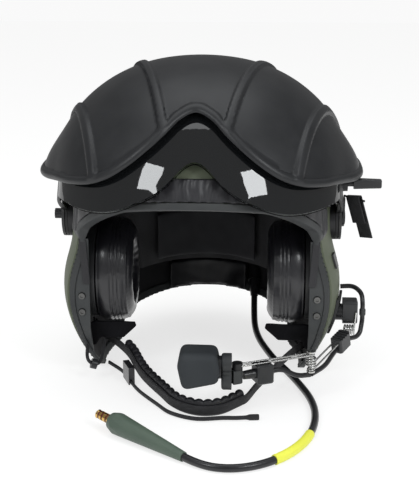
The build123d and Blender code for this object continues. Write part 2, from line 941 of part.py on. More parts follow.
# Front flanges on the ear lobes, their screws and the leather wings under the cushions
flange_blank = shell_blank(-shell_wall - trim_inside - fit_gap)
flange_face = rim_shares[4][0] * shell_half_width + flange_inset
for hand, side in sides:
    screw_places = [(side * screw_across, flange_face, level) for level in screw_levels]
    with BuildPart() as front_flange:
        add(rim_block(flange_inset))
        add(rim_block(flange_inset + flange_wall), mode=Mode.SUBTRACT)
        with Locations((side * flange_inner, flange_back, flange_top)):
            Box(
                overrun,
                overrun,
                overrun * 2,
                align=(Align.MIN if side > 0 else Align.MAX, Align.MAX, Align.MAX),
                mode=Mode.INTERSECT,
            )
        add(flange_blank, mode=Mode.INTERSECT)
        for place in screw_places:
            with BuildSketch(Plane(origin=place, z_dir=(0, 1, 0))):
                Circle(screw_shank_radius)
            extrude(amount=flange_wall * 2, mode=Mode.SUBTRACT)
    keep(front_flange, f"front_flange_{hand}")

with BuildPart() as flange_screws:
    screw_places = []
    for hand, side in sides:
        screw_places += [(side * screw_across, flange_face, level) for level in screw_levels]
    for place in screw_places:
        with BuildSketch(Plane(origin=place, z_dir=(0, 1, 0))):
            Circle(screw_shank_radius)
        extrude(amount=screw_shank_length)
        with BuildSketch(Plane(origin=place, z_dir=(0, -1, 0))):
            Circle(screw_head_radius)
        extrude(amount=screw_head_height, taper=screw_head_taper)
    for place in screw_places:
        with BuildSketch(Plane(origin=place, z_dir=(0, -1, 0)).offset(screw_head_height)):
            RegularPolygon(screw_socket_radius, 6)
        extrude(amount=-screw_head_height / 2, mode=Mode.SUBTRACT)
keep(flange_screws, "flange_screws")

with BuildPart() as harness_wings:
    for hand, side in sides:
        with BuildSketch(Plane.XZ.offset(-wing_front)):
            with BuildLine():
                Polyline(
                    *[(side * x * flange_inner, z * shell_half_width) for x, z in wing_shares],
                    close=True,
                )
            make_face()
        extrude(amount=-wing_wall)
    add(liner_blank, mode=Mode.INTERSECT)
keep(harness_wings, "harness_wings")

# Sewn strips from the shell's edge to the front of the ear cushions
with BuildPart() as temple_straps:
    for hand, side in sides:
        with BuildSketch(Plane.XZ.offset(-flange_face - flange_wall)):
            with BuildLine():
                Polyline(
                    (side * flange_inner, flange_top),
                    (side * (flange_inner - temple_width), flange_top),
                    (side * (cup_inner_face - temple_width), ear_height),
                    (side * cup_inner_face, ear_height),
                    close=True,
                )
            make_face()
        extrude(amount=temple_wall)
keep(temple_straps, "temple_straps")

# Edge clip on the left side of the shell
with BuildPart() as edge_clip:
    add(shell_blank(fit_gap + edge_clip_wall))
    add(seat_blank, mode=Mode.SUBTRACT)
    with Locations((shell_half_width, edge_clip_place[0], edge_clip_place[1])):
        Box(shell_half_width, edge_clip_width, edge_clip_height, mode=Mode.INTERSECT)
keep(edge_clip, "edge_clip")

# Screws on the rear flange of the cover
with BuildPart() as cover_screws:
    for plane in cover_screw_planes:
        with BuildSketch(plane):
            Circle(screw_shank_radius)
        extrude(amount=-cover_flange_wall)
        with BuildSketch(plane):
            Circle(screw_head_radius)
        extrude(amount=screw_head_height, taper=screw_head_taper)
    for plane in cover_screw_planes:
        with BuildSketch(plane.offset(screw_head_height)):
            RegularPolygon(screw_socket_radius, 6)
        extrude(amount=-screw_head_height / 2, mode=Mode.SUBTRACT)
keep(cover_screws, "cover_screws")


# Strips that follow a line of points
def beside(points, gap):
    """A line of points moved by gap to the right of the way it runs."""
    moved = []
    for index, (x, y) in enumerate(points):
        before = points[max(index - 1, 0)]
        after = points[min(index + 1, len(points) - 1)]
        run = Vector(after[0] - before[0], after[1] - before[1]).normalized()
        moved.append((x + run.Y * gap, y - run.X * gap))
    return moved


def ribbon(points, near, far):
    """The strip between two curves that lie near and far to the right of a line of points."""
    with BuildSketch() as strip:
        with BuildLine():
            inner = Spline(*beside(points, near))
            outer = Spline(*beside(points, far))
            Line(inner @ 0, outer @ 0)
            Line(inner @ 1, outer @ 1)
        make_face()
    return strip.sketch


def chin_line(shares):
    """Places on the chin strap's plane from shares of its half width and reach."""
    return [(x * chin_half_width, y * chin_reach) for x, y in shares]


# Chin strap: padded leather, webbing on its front, and the loose tail in its keeper
strap_plane = Plane(origin=(0, 0, strap_level), x_dir=(1, 0, 0), z_dir=(0, -strap_rise_share, 1))
pad_line = chin_line(pad_shares)
strap_line = chin_line(strap_rear_shares) + pad_line + chin_line(strap_front_shares)
strap_near = chin_pad_wall / 2 + fit_gap
strap_far = strap_near + strap_wall
tail_middle = strap_far + fit_gap * 2 + keeper_wall + tail_wall / 2
tail_line = beside(strap_line[3:12], tail_middle) + chin_line(tail_end_shares)

pad_edge = Spline(*beside(pad_line, -chin_pad_wall / 2))
with BuildPart() as chin_pad:
    with BuildSketch(strap_plane.offset(-chin_pad_width / 2)):
        add(ribbon(pad_line, -chin_pad_wall / 2, chin_pad_wall / 2))
        with Locations(*[pad_edge @ (step / scallop_count) for step in range(1, scallop_count)]):
            Circle(scallop_depth, mode=Mode.SUBTRACT)
    extrude(amount=chin_pad_width)
keep(chin_pad, "chin_pad")

with BuildPart() as chin_strap:
    with BuildSketch(strap_plane.offset(-strap_width / 2)):
        add(ribbon(strap_line, strap_near, strap_far))
    extrude(amount=strap_width)
keep(chin_strap, "chin_strap")

with BuildPart() as strap_tail:
    with BuildSketch(Plane.XY.offset(floor_level + tail_lift)):
        add(ribbon(tail_line, -tail_wall / 2, tail_wall / 2))
    extrude(amount=tail_width)
    with BuildSketch(Plane.XY.offset(floor_level + tail_lift)):
        add(ribbon(tail_line[-2:], -tail_wall / 2 - tip_wall, tail_wall / 2 + tip_wall))
    extrude(amount=tail_width + tip_wall)
keep(strap_tail, "strap_tail")

keeper_reach = tail_wall / 2 + fit_gap + keeper_wall
with BuildPart() as strap_keeper:
    with BuildSketch(Plane.XY.offset(floor_level + tail_lift)):
        add(ribbon(tail_line[2:4], -keeper_reach, keeper_reach))
    extrude(amount=keeper_width)
    with BuildSketch(Plane.XY.offset(floor_level + tail_lift)):
        add(ribbon(tail_line, -keeper_reach + keeper_wall, keeper_reach - keeper_wall))
    extrude(amount=tail_width + fit_gap, mode=Mode.SUBTRACT)
keep(strap_keeper, "strap_keeper")

with BuildPart() as strap_studs:
    for ends in ((strap_line[0], strap_line[1]), (strap_line[-1], strap_line[-2])):
        place = beside(strap_line, strap_near - fit_gap)[strap_line.index(ends[0])]
        run = Vector(*ends[1]) - Vector(*ends[0])
        across = Vector(run.Y, -run.X) * (1 if place[0] > 0 else -1)
        inward = strap_plane.from_local_coords(across) - strap_plane.origin
        middle = strap_plane.from_local_coords(Vector(*place) + run.normalized() * stud_radius)
        with BuildSketch(Plane(origin=middle, z_dir=inward)):
            Circle(stud_radius)
        extrude(amount=stud_height)
keep(strap_studs, "strap_studs")


# Round tubes along straight runs joined by arcs
def corner_radii(points):
    """The largest arc that each corner's two runs allow."""
    radii = []
    for before, corner, after in zip(points, points[1:], points[2:]):
        first = Vector(*corner) - Vector(*before)
        second = Vector(*after) - Vector(*corner)
        run = arc_run_share * min(first.length, second.length)
        radii.append(run / tan(radians(first.get_angle(second)) / 2))
    return radii


def tube(points, outer, inner=0.0, radii=None):
    """A round tube along a route of points."""
    radii = radii or corner_radii(points)
    with BuildPart() as pipe:
        with BuildLine():
            path = FilletPolyline(*points, radius=radii)
        with BuildSketch(Plane(origin=path @ 0, z_dir=path % 0)):
            Circle(outer)
            if inner:
                Circle(inner, mode=Mode.SUBTRACT)
        sweep(path=path)
    return pipe.part


# Drawcord loop with its toggle
with BuildPart() as bungee_loop:
    add(tube(bungee_route, bungee_radius))
keep(bungee_loop, "bungee_loop")

toggle_way = Vector(*bungee_route[3]) - Vector(*bungee_route[2])
toggle_place = (Vector(*bungee_route[3]) + Vector(*bungee_route[2])) / 2
with BuildPart() as toggle:
    with BuildSketch(Plane(origin=toggle_place, z_dir=toggle_way)):
        Circle(toggle_radius)
        Circle(bungee_radius + fit_gap * 2, mode=Mode.SUBTRACT)
    extrude(amount=toggle_length / 2, both=True)
keep(toggle, "toggle")

# Boom bracket on the shell and the hub block that turns on its pin
hub_x, hub_y, hub_z = hub_place
block_x = hub_x - hub_block[0] / 2 + hub_shift
hub_plane = Plane(origin=(0, hub_y, hub_z), x_dir=(0, 1, 0), z_dir=(1, 0, 0))
with BuildPart() as boom_bracket:
    add(shell_blank(fit_gap + hub_plate_wall))
    add(seat_blank, mode=Mode.SUBTRACT)
    with Locations((shell_half_width, hub_y, hub_z)):
        Box(shell_half_width, hub_plate_width, hub_plate_height, mode=Mode.INTERSECT)
    with BuildSketch(hub_plane.offset(block_x - fit_gap)):
        Circle(boss_radius)
    extrude(amount=-boss_radius)
    add(seat_blank, mode=Mode.SUBTRACT)
    with BuildSketch(hub_plane.offset(block_x - fit_gap)):
        Circle(hub_pin_radius)
    extrude(amount=hub_block[0] - hub_block[0] * pin_cap_share)
keep(boom_bracket, "boom_bracket")

with BuildPart() as hub_housing:
    with Locations((block_x, hub_y, hub_z + hub_rise)):
        Box(*hub_block, align=(Align.MIN, Align.CENTER, Align.CENTER))
    fillet(hub_housing.edges().filter_by(Axis.X), hub_rounding * 2)
    fillet(hub_housing.faces().sort_by(Axis.X)[-1].edges(), hub_rounding)
    with BuildSketch(hub_plane.offset(block_x)):
        Circle(hub_pin_radius + running_gap)
    extrude(amount=hub_block[0] - hub_block[0] * pin_cap_share + running_gap, mode=Mode.SUBTRACT)
keep(hub_housing, "hub_housing")


# Coiled springs: each turn is four quarter arcs
def biarc(start, start_way, end, end_way):
    """Two arcs that join two places and keep the way at each."""
    chord = end - start
    ways = start_way + end_way
    bend = 2 * (1 - start_way.dot(end_way))
    reach = (sqrt(chord.dot(ways) ** 2 + bend * chord.dot(chord)) - chord.dot(ways)) / bend
    first = start + start_way * reach
    second = end - end_way * reach
    joint = (first + second) / 2
    TangentArc(start, joint, tangent=start_way)
    TangentArc(joint, end, tangent=second - first)


def coil_steps(plane, radius, pitch, turns):
    """Places and ways at each half turn of a coil about a plane's upright."""
    steps = []
    for half in range(2 * turns + 1):
        side = 1 if half % 2 == 0 else -1
        place = plane.from_local_coords(Vector(side * radius, 0, (half / 2 - turns / 2) * pitch))
        way = plane.from_local_coords(Vector(0, side * 2 * pi * radius, pitch)) - plane.origin
        steps.append((place, way.normalized()))
    return steps


def least_gap(path, radius, apart, count=240):
    """The least gap of a wound tube to itself, measured on points."""
    points = [path @ (step / count) for step in range(count + 1)]
    skip = int(apart / path.length * count) + 1
    far = [(one, other) for index, one in enumerate(points) for other in points[index + skip:]]
    return min((one - other).length for one, other in far) - 2 * radius


def wound_tube(steps, tail_in, tail_out, name):
    """One unbroken tube along a coil and the straight tail at each end."""
    with BuildPart() as wound:
        with BuildLine() as path:
            Line(steps[0][0] - steps[0][1] * tail_in, steps[0][0])
            for before, after in zip(steps, steps[1:]):
                biarc(*before, *after)
            Line(steps[-1][0], steps[-1][0] + steps[-1][1] * tail_out)
        with BuildSketch(Plane(origin=path.line @ 0, z_dir=path.line % 0)):
            Circle(wire_radius)
        sweep(path=path.wire())
    gap = least_gap(path.wire(), wire_radius, pi * coil_radius)
    print(f"{name}: least gap to itself {gap:.2f} mm")
    return wound.part


hub_coil_plane = Plane(origin=hub_coil_place, x_dir=(0, 1, 0), z_dir=(1, 0, 0))
elbow_plane = Plane(origin=elbow_place, x_dir=(0, -1, 0), z_dir=(0, 0, 1))
hub_steps = coil_steps(hub_coil_plane, coil_radius, coil_pitch, coil_turns)
elbow_steps = coil_steps(elbow_plane, coil_radius, coil_pitch, coil_turns)
with BuildPart() as boom_coils:
    add(wound_tube(hub_steps, coil_end, spring_tail, "hub coil"))
    add(wound_tube(elbow_steps, coil_end, coil_end, "elbow coil"))
keep(boom_coils, "boom_coils")

# Upper wires: one wire bent round the elbow pin, through the clip block to the hub coil
elbow_x, elbow_y, elbow_z = elbow_place
coil_half = coil_pitch * coil_turns / 2 + wire_radius
upper_level = elbow_z - coil_half - fit_gap * 2 - wire_radius
lower_level = elbow_z + coil_half + fit_gap + wire_radius
elbow_low = Vector(elbow_x, elbow_y, upper_level)
upper_start = Vector(*hub_coil_place)
upper_run = upper_start - elbow_low
upper_way = upper_run.cross(Vector(-upper_run.Y, upper_run.X, 0))
upper_plane = Plane(origin=elbow_low, x_dir=upper_run, z_dir=upper_way)
upper_length = upper_run.length - coil_radius - wire_radius * 2 - fit_gap


def bent_wire(plane, length):
    """A wire that runs along a plane's X, turns round its origin and runs back."""
    half = wire_spacing / 2
    with BuildPart() as wire:
        with BuildLine(plane) as path:
            Line((length, half), (0, half))
            ThreePointArc((0, half), (-half, 0), (0, -half))
            Line((0, -half), (length, -half))
        with BuildSketch(Plane(origin=path.line @ 0, z_dir=path.line % 0)):
            Circle(wire_radius)
        sweep(path=path.wire())
    return wire.part


with BuildPart() as upper_wires:
    add(bent_wire(upper_plane, upper_length))
keep(upper_wires, "upper_wires")

mic_x, mic_y, mic_z = mic_pivot_place
arm_run = Vector(mic_x - elbow_x, mic_y - elbow_y, 0)
arm_plane = Plane(origin=(elbow_x, elbow_y, lower_level), x_dir=arm_run, z_dir=(0, 0, 1))
with BuildPart() as lower_wires:
    add(bent_wire(arm_plane, arm_run.length - running_gap))
keep(lower_wires, "lower_wires")

with BuildPart() as elbow_pin:
    for way, level in ((1, lower_level), (-1, upper_level)):
        with BuildSketch(Plane.XY.offset(elbow_z)):
            with Locations((elbow_x, elbow_y)):
                Circle(elbow_pin_radius)
        extrude(amount=level + way * (wire_radius + fit_gap * 2) - elbow_z)
        with BuildSketch(Plane.XY.offset(level + way * (wire_radius + fit_gap * 2))):
            with Locations((elbow_x, elbow_y)):
                Circle(elbow_head_radius)
        extrude(amount=way * elbow_head_height)
keep(elbow_pin, "elbow_pin")

# Clip block on the upper wires, which also grips the cable
clip_plane = Plane(
    origin=upper_plane.from_local_coords(Vector(upper_run.length * (1 - clip_share), 0, 0)),
    x_dir=upper_plane.x_dir,
    z_dir=upper_plane.z_dir,
)
with BuildPart() as clip_block:
    with BuildSketch(clip_plane.offset(-clip_below)):
        RectangleRounded(clip_length, clip_half_width * 2, clip_half_width * clip_corner_share)
    extrude(amount=clip_below + clip_above)
    for rib in range(clip_ribs):
        place = ((rib + 1) / (clip_ribs + 1) - 0.5) * clip_length
        with BuildSketch(clip_plane.offset(clip_above)):
            with Locations((place, 0)):
                Rectangle(clip_groove, clip_groove_length)
        extrude(amount=-clip_groove, mode=Mode.SUBTRACT)
    bore_start = clip_plane.from_local_coords(Vector(-clip_length, 0, 0))
    bore_plane = Plane(origin=bore_start, z_dir=clip_plane.x_dir)
    with BuildSketch(bore_plane):
        for across in (-wire_spacing / 2, wire_spacing / 2):
            bore_place = clip_plane.from_local_coords(Vector(-clip_length, across, 0))
            corner = bore_plane.to_local_coords(bore_place)
            with Locations((corner.X, corner.Y)):
                Circle(wire_radius + running_gap)
        low_place = clip_plane.from_local_coords(Vector(-clip_length, 0, -clip_cable_drop))
        low = bore_plane.to_local_coords(low_place)
        with Locations((low.X, low.Y)):
            Circle(mic_cable_radius + fit_gap)
    extrude(amount=clip_length * 2, mode=Mode.SUBTRACT)
keep(clip_block, "clip_block")

# Connector block and heat-shrunk sleeve under the lower wires
block_top = -wire_radius - running_gap
block_middle = arm_run.length * connector_share
with BuildPart() as connector_block:
    with BuildSketch(arm_plane.offset(block_top)):
        with Locations((block_middle, 0)):
            Rectangle(connector_size[0], connector_size[1])
    extrude(amount=-connector_size[2])
    chamfer(connector_block.edges(), connector_rounding)
keep(connector_block, "connector_block")

shrink_level = lower_level + block_top - connector_size[2] / 2
shrink_start = block_middle + connector_size[0] / 2
shrink_end = arm_run.length - knuckle_radius - fit_gap * 2
shrink_plane = Plane(
    origin=arm_plane.from_local_coords(Vector(shrink_start, 0, shrink_level - lower_level)),
    z_dir=arm_plane.x_dir,
    x_dir=arm_plane.y_dir,
)
with BuildPart() as shrink_sleeve:
    with BuildSketch(shrink_plane):
        RectangleRounded(
            shrink_half_width * 2,
            shrink_half_height * 2,
            shrink_half_height * sleeve_corner_share,
        )
    extrude(amount=shrink_end - shrink_start, taper=shrink_taper)
keep(shrink_sleeve, "shrink_sleeve")

# Knuckle at the wires' end, the microphone's stem and collar, its foam and capsule
mic_plane = Plane(origin=(mic_x, mic_y, lower_level), x_dir=arm_run, z_dir=(0, 0, 1))
with BuildPart() as mic_knuckle:
    with BuildSketch(mic_plane.offset(-knuckle_height / 2)):
        Circle(knuckle_radius)
    extrude(amount=knuckle_height)
    with BuildSketch(Plane(origin=arm_plane.origin, x_dir=(0, 0, 1), z_dir=arm_plane.x_dir)):
        with Locations((0, wire_spacing / 2), (0, -wire_spacing / 2)):
            Circle(wire_radius + running_gap)
    extrude(amount=arm_run.length, mode=Mode.SUBTRACT)
    with BuildSketch(mic_plane.offset(-knuckle_height / 2)):
        Circle(mic_pin_radius)
    extrude(amount=-mic_stem_drop)
keep(mic_knuckle, "mic_knuckle")

collar_place = (knuckle_radius + collar_near, 0, mic_z - lower_level + collar_drop)
collar_origin = mic_plane.from_local_coords(Vector(*collar_place))
collar_plane = Plane(origin=collar_origin, x_dir=(0, 0, 1), z_dir=(-1, 0, 0))
with BuildPart() as mic_collar:
    with BuildSketch(mic_plane.offset(-knuckle_height / 2 - fit_gap)):
        Circle(knuckle_radius)
        with Locations((collar_place[0] / 2, 0)):
            Rectangle(collar_place[0], knuckle_radius * 2)
        Circle(mic_pin_radius + running_gap, mode=Mode.SUBTRACT)
    extrude(amount=-mic_stem_drop)
    with BuildSketch(collar_plane):
        with Locations((collar_spread / 2, 0), (-collar_spread / 2, 0)):
            Circle(collar_radius)
        Rectangle(collar_spread, collar_radius * collar_waist_share)
    extrude(amount=collar_wall)
    fillet(mic_collar.faces().sort_by(Axis.X)[0].edges(), collar_wall / 4)
keep(mic_collar, "mic_collar")

foam_plane = Plane(
    origin=collar_plane.from_local_coords(Vector(foam_rise, 0, collar_wall + foam_gap)),
    x_dir=(-1, 0, 0),
    z_dir=(0, -1, 0),
)
with BuildPart() as mic_foam:
    with BuildSketch(foam_plane.offset(-foam_depth / 2)) as outline:
        with BuildLine():
            Polyline(*[(x * foam_width, y * foam_height) for x, y in foam_shares], close=True)
        make_face()
        fillet(outline.vertices(), foam_rounding)
    extrude(amount=foam_depth)
    fillet(mic_foam.edges().group_by(Axis.Y)[0] + mic_foam.edges().group_by(Axis.Y)[-1], foam_rounding)
    with BuildSketch(Plane(origin=foam_plane.origin, z_dir=(-1, 0, 0))):
        Circle(capsule_radius + foam_gap)
    extrude(amount=capsule_length + foam_gap, mode=Mode.SUBTRACT)
keep(mic_foam, "mic_foam")

with BuildPart() as mic_capsule:
    with BuildSketch(Plane(origin=foam_plane.origin + Vector(foam_gap, 0, 0), z_dir=(-1, 0, 0))):
        Circle(capsule_radius)
    extrude(amount=capsule_length)
keep(mic_capsule, "mic_capsule")

# Microphone cable: shell to hub axis, hub axis to elbow axis, elbow axis to connector block
cable_level = upper_level - wire_radius - fit_gap * 2 - elbow_head_height - mic_cable_radius - fit_gap
cable_hub = Vector(cable_side, hub_y, hub_z)
cable_elbow = Vector(elbow_x, elbow_y, cable_level)
elbow_gap = Vector(elbow_break, elbow_break, 0)
clip_lead = clip_length * clip_lead_share
clip_rear = clip_plane.from_local_coords(Vector(clip_lead, 0, -clip_cable_drop))
clip_front = clip_plane.from_local_coords(Vector(-clip_lead, 0, -clip_cable_drop))
block_face = block_middle - connector_size[0] / 2
cable_drop = shrink_level - lower_level
shell_route = [cable_hub + Vector(*step) for step in cable_root_steps]
shell_route.append(cable_hub + Vector(0, 0, hub_break))
hub_route = [cable_hub - Vector(0, 0, hub_break)]
hub_route += [cable_hub + Vector(*step) for step in cable_hub_steps]
hub_route += [clip_rear, clip_front, cable_elbow + Vector(*cable_elbow_steps[0]), cable_elbow + elbow_gap]
arm_route = [cable_elbow - elbow_gap, cable_elbow + Vector(*cable_elbow_steps[1])]
arm_route.append(arm_plane.from_local_coords(Vector(block_face - cable_lead, 0, cable_drop)))
arm_route.append(arm_plane.from_local_coords(Vector(block_face, 0, cable_drop)))
for name, route in (("root", shell_route), ("upper", hub_route), ("lower", arm_route)):
    with BuildPart() as mic_cable:
        add(tube(route, mic_cable_radius))
    keep(mic_cable, f"mic_cable_{name}")

# Cord along the floor to the plug
cord_radii = corner_radii(cord_route)
print("cord radii", [round(radius, 1) for radius in cord_radii])
with BuildPart() as cord:
    with BuildLine() as cord_path:
        FilletPolyline(*cord_route, radius=cord_radii)
    with BuildSketch(Plane(origin=cord_path.line @ 0, z_dir=cord_path.line % 0)):
        Circle(cord_diameter / 2)
    sweep(path=cord_path.wire())
keep(cord, "cord")
cord_length = cord_path.wire().length
print(f"cord length {cord_length:.1f} mm, volume {cord.part.volume:.0f} mm3,", end=" ")
print(f"section times length {pi * cord_diameter ** 2 / 4 * cord_length:.0f} mm3")

corners = [Vector(*point) for point in cord_route[sleeve_first - 1 : sleeve_first + 3]]
sleeve_route = [(corners[0] + corners[1]) / 2, corners[1], corners[2], (corners[2] + corners[3]) / 2]
with BuildPart() as cord_sleeve:
    add(
        tube(
            sleeve_route,
            cord_diameter / 2 + sleeve_wall,
            cord_diameter / 2 + running_gap,
            cord_radii[sleeve_first - 1 : sleeve_first + 1],
        )
    )
keep(cord_sleeve, "cord_sleeve")

# Strain relief at the inner rear rim
gland_way = Vector(*cord_route[-1]) - Vector(*cord_route[-2])
gland_plane = Plane(origin=cord_route[-1], z_dir=gland_way)
with BuildPart() as cord_gland:
    with BuildSketch(gland_plane):
        Circle(gland_tip_radius)
    with BuildSketch(gland_plane.offset(gland_length)):
        Circle(gland_radius)
    loft()
    with BuildSketch(gland_plane.offset(gland_length - gland_base)):
        Circle(gland_radius)
    extrude(amount=gland_base * 2)
    add(flange_blank, mode=Mode.INTERSECT)
keep(cord_gland, "cord_gland")

# Plug: moulded body, contacts and the rings that part them
plug_way = Vector(*cord_route[0]) - Vector(*cord_route[1])
plug_plane = Plane(origin=cord_route[0], z_dir=plug_way)
plug_face = plug_plane.offset(plug_body_length)
bevel_radius = plug_pin_radius + plug_bevel / 2
with BuildPart() as plug_body:
    with BuildSketch(plug_plane):
        Circle(plug_rear_radius)
    with BuildSketch(plug_plane.offset(plug_body_length - plug_bevel)):
        Circle(plug_front_radius)
    loft()
    with BuildSketch(plug_plane.offset(plug_body_length - plug_bevel)):
        Circle(plug_front_radius)
    with BuildSketch(plug_face):
        Circle(bevel_radius)
    loft()
    with BuildSketch(plug_plane):
        RegularPolygon(plug_facet_reach, plug_facets, major_radius=False)
    extrude(amount=plug_body_length, mode=Mode.INTERSECT)
keep(plug_body, "plug_body")

with BuildPart() as plug_contacts:
    for start, end in contact_shares:
        with BuildSketch(plug_face.offset(start * plug_pin_length)):
            Circle(plug_pin_radius)
        extrude(amount=(end - start) * plug_pin_length)
    with BuildSketch(plug_face.offset(tip_share * plug_pin_length)):
        Circle(plug_pin_radius * tip_neck_share)
    with BuildSketch(plug_face.offset((1 + tip_share) / 2 * plug_pin_length)):
        Circle(plug_pin_radius)
    loft()
    with BuildSketch(plug_face.offset((1 + tip_share) / 2 * plug_pin_length)):
        Circle(plug_pin_radius)
    with BuildSketch(plug_face.offset(plug_pin_length)):
        Circle(plug_pin_radius / 2)
    loft()
keep(plug_contacts, "plug_contacts")

with BuildPart() as plug_insulators:
    ends = [end for start, end in contact_shares]
    starts = [start for start, end in contact_shares[1:]] + [tip_share]
    for start, end in zip(ends, starts):
        with BuildSketch(plug_face.offset(start * plug_pin_length)):
            Circle(plug_pin_radius * insulator_share)
        extrude(amount=(end - start) * plug_pin_length)
keep(plug_insulators, "plug_insulators")
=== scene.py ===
# %% [markdown]
# A pilot's flight helmet, dressed over its measured frame.
# The frame holds every hard piece at its real size, so nothing here moves or resizes one.
# This script gives each piece its finish and models the soft pieces as leather, foam and webbing.

# %% Load the frame
import json
import math

import bmesh
import bpy
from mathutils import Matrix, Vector, noise
from mathutils.bvhtree import BVHTree


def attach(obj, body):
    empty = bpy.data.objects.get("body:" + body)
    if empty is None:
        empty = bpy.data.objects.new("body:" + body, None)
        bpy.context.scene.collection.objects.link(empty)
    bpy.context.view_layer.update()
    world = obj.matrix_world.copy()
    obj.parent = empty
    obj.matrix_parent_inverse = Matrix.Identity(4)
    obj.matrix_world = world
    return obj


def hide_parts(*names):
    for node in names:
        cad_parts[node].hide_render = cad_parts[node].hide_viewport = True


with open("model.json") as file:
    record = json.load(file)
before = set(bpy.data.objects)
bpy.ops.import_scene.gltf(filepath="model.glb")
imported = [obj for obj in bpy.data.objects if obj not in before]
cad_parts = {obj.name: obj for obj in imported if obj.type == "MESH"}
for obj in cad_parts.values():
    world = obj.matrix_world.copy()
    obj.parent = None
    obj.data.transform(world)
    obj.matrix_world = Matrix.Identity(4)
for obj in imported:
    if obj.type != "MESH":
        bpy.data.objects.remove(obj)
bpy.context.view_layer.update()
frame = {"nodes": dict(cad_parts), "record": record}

nodes = frame["nodes"]
mm = 0.001
print("pieces in the frame:", len(nodes))

# %% [markdown]
# The photograph looks at the helmet from the front and a little from above.
# A long lens about a metre away keeps the brow and the ear lobes in their real proportion.
# The lens follows from the picture: its focal length in pixels over the picture's height.
# A small lens shift puts the pivots' middle where the picture has it, without tilting the view.

# %% Camera
picture_height = 500
picture_width = 419
focal_pixels = 1170
pivot_pixel = (202, 215)
view_turn = math.radians(3)
view_rise = math.radians(15)
view_distance = 1000 * mm
sensor = 36

pivot_level = 52 * mm
pivot_middle = Vector((0, 0, pivot_level))
view_back = Vector(
    (
        math.sin(view_turn) * math.cos(view_rise),
        -math.cos(view_turn) * math.cos(view_rise),
        math.sin(view_rise),
    )
)
camera = bpy.data.objects.new("camera", bpy.data.cameras.new("camera"))
bpy.context.scene.collection.objects.link(camera)
camera.location = pivot_middle + view_back * view_distance
camera.rotation_euler = view_back.to_track_quat("Z", "Y").to_euler()
camera.data.lens = sensor * focal_pixels / picture_height
camera.data.shift_x = (picture_width / 2 - pivot_pixel[0]) / picture_height
camera.data.shift_y = (pivot_pixel[1] - picture_height / 2) / picture_height
bpy.context.scene.camera = camera
print("lens", round(camera.data.lens, 1), "mm")

# %% [markdown]
# Every finish below is a small tree of nodes. A few helpers keep those trees short to read:
# one starts a material, one does sums between nodes, and one tells what kind of ray looks.

# %% Node helpers
plain_white = (1, 1, 1, 1)


def new_material(name):
    """A node material, with its tree and its shader."""
    material = bpy.data.materials.new(name)
    material.use_nodes = True
    tree = material.node_tree
    return material, tree, tree.nodes["Principled BSDF"]


def arithmetic(tree, operation, first, second=0.0):
    """One arithmetic node on two inputs, each a link or a number."""
    node = tree.nodes.new("ShaderNodeMath")
    node.operation = operation
    for socket, value in zip(node.inputs, (first, second)):
        if isinstance(value, (int, float)):
            socket.default_value = value
        else:
            tree.links.new(value, socket)
    return node.outputs[0]


def seen_ray(tree, kinds):
    """One where a ray of these kinds looks, else nothing."""
    path = tree.nodes.new("ShaderNodeLightPath")
    found = path.outputs[kinds[0]]
    for kind in kinds[1:]:
        found = arithmetic(tree, "MAXIMUM", found, path.outputs[kind])
    return found


print("node helpers ready")

# %% [markdown]
# A plain pale floor carries the helmet's cord and plug, and keeps a soft shadow.
# A floor lit by lamps alone would turn grey towards its edges, or need lamps that burn out
# the helmet. So a share of its white is a glow, and the rest takes the light and the shadow.

# %% Floor
floor_level = -80.2 * mm
floor_size = 6.0
floor_white = (0.90, 0.90, 0.895, 1)
floor_roughness = 0.9
floor_glow = 1.2
shadow_share = 0.4

floor_mesh = bpy.data.meshes.new("floor")
half_floor = floor_size / 2
floor_signs = ((-1, -1), (1, -1), (1, 1), (-1, 1))
floor_corners = [(x * half_floor, y * half_floor, floor_level) for x, y in floor_signs]
floor_mesh.from_pydata(floor_corners, [], [(0, 1, 2, 3)])
floor = bpy.data.objects.new("floor", floor_mesh)
bpy.context.scene.collection.objects.link(floor)
floor_material, tree, shader = new_material("pale_floor")
shader.inputs["Base Color"].default_value = floor_white
shader.inputs["Roughness"].default_value = floor_roughness
glow = tree.nodes.new("ShaderNodeEmission")
glow.inputs["Color"].default_value = plain_white
glow.inputs["Strength"].default_value = floor_glow
looks = seen_ray(tree, ("Is Camera Ray", "Is Glossy Ray", "Is Transmission Ray"))
floor_mix = tree.nodes.new("ShaderNodeMixShader")
tree.links.new(arithmetic(tree, "MULTIPLY", looks, 1 - shadow_share), floor_mix.inputs["Fac"])
tree.links.new(shader.outputs[0], floor_mix.inputs[1])
tree.links.new(glow.outputs[0], floor_mix.inputs[2])
tree.links.new(floor_mix.outputs[0], tree.nodes["Material Output"].inputs["Surface"])
floor_mesh.materials.append(floor_material)
print("floor at", round(floor_level / mm, 1), "mm")

# %% [markdown]
# The sky is one even white that lights the helmet from all sides, as in a studio tent.
# A picture of a studio could do the same, but one white needs no file and has no seams.
# Mirrors see it darker than the camera does, so black lacquer and the visor stay deep.

# %% Sky
sky_light = 0.62
sky_seen = 0.95
sky_mirrored = 0.25

world = bpy.data.worlds.new("studio")
world.use_nodes = True
bpy.context.scene.world = world
tree = world.node_tree
sky = tree.nodes["Background"]
sky.inputs["Color"].default_value = plain_white
looks = seen_ray(tree, ("Is Camera Ray", "Is Transmission Ray"))
mirrors = seen_ray(tree, ("Is Glossy Ray",))
seen_part = arithmetic(tree, "MULTIPLY", looks, sky_seen - sky_light)
mirror_part = arithmetic(tree, "MULTIPLY", mirrors, sky_mirrored - sky_light)
looked_at = arithmetic(tree, "ADD", seen_part, mirror_part)
level = arithmetic(tree, "ADD", looked_at, sky_light)
tree.links.new(level, sky.inputs["Strength"])
print("sky light", sky_light, "seen as", sky_seen)

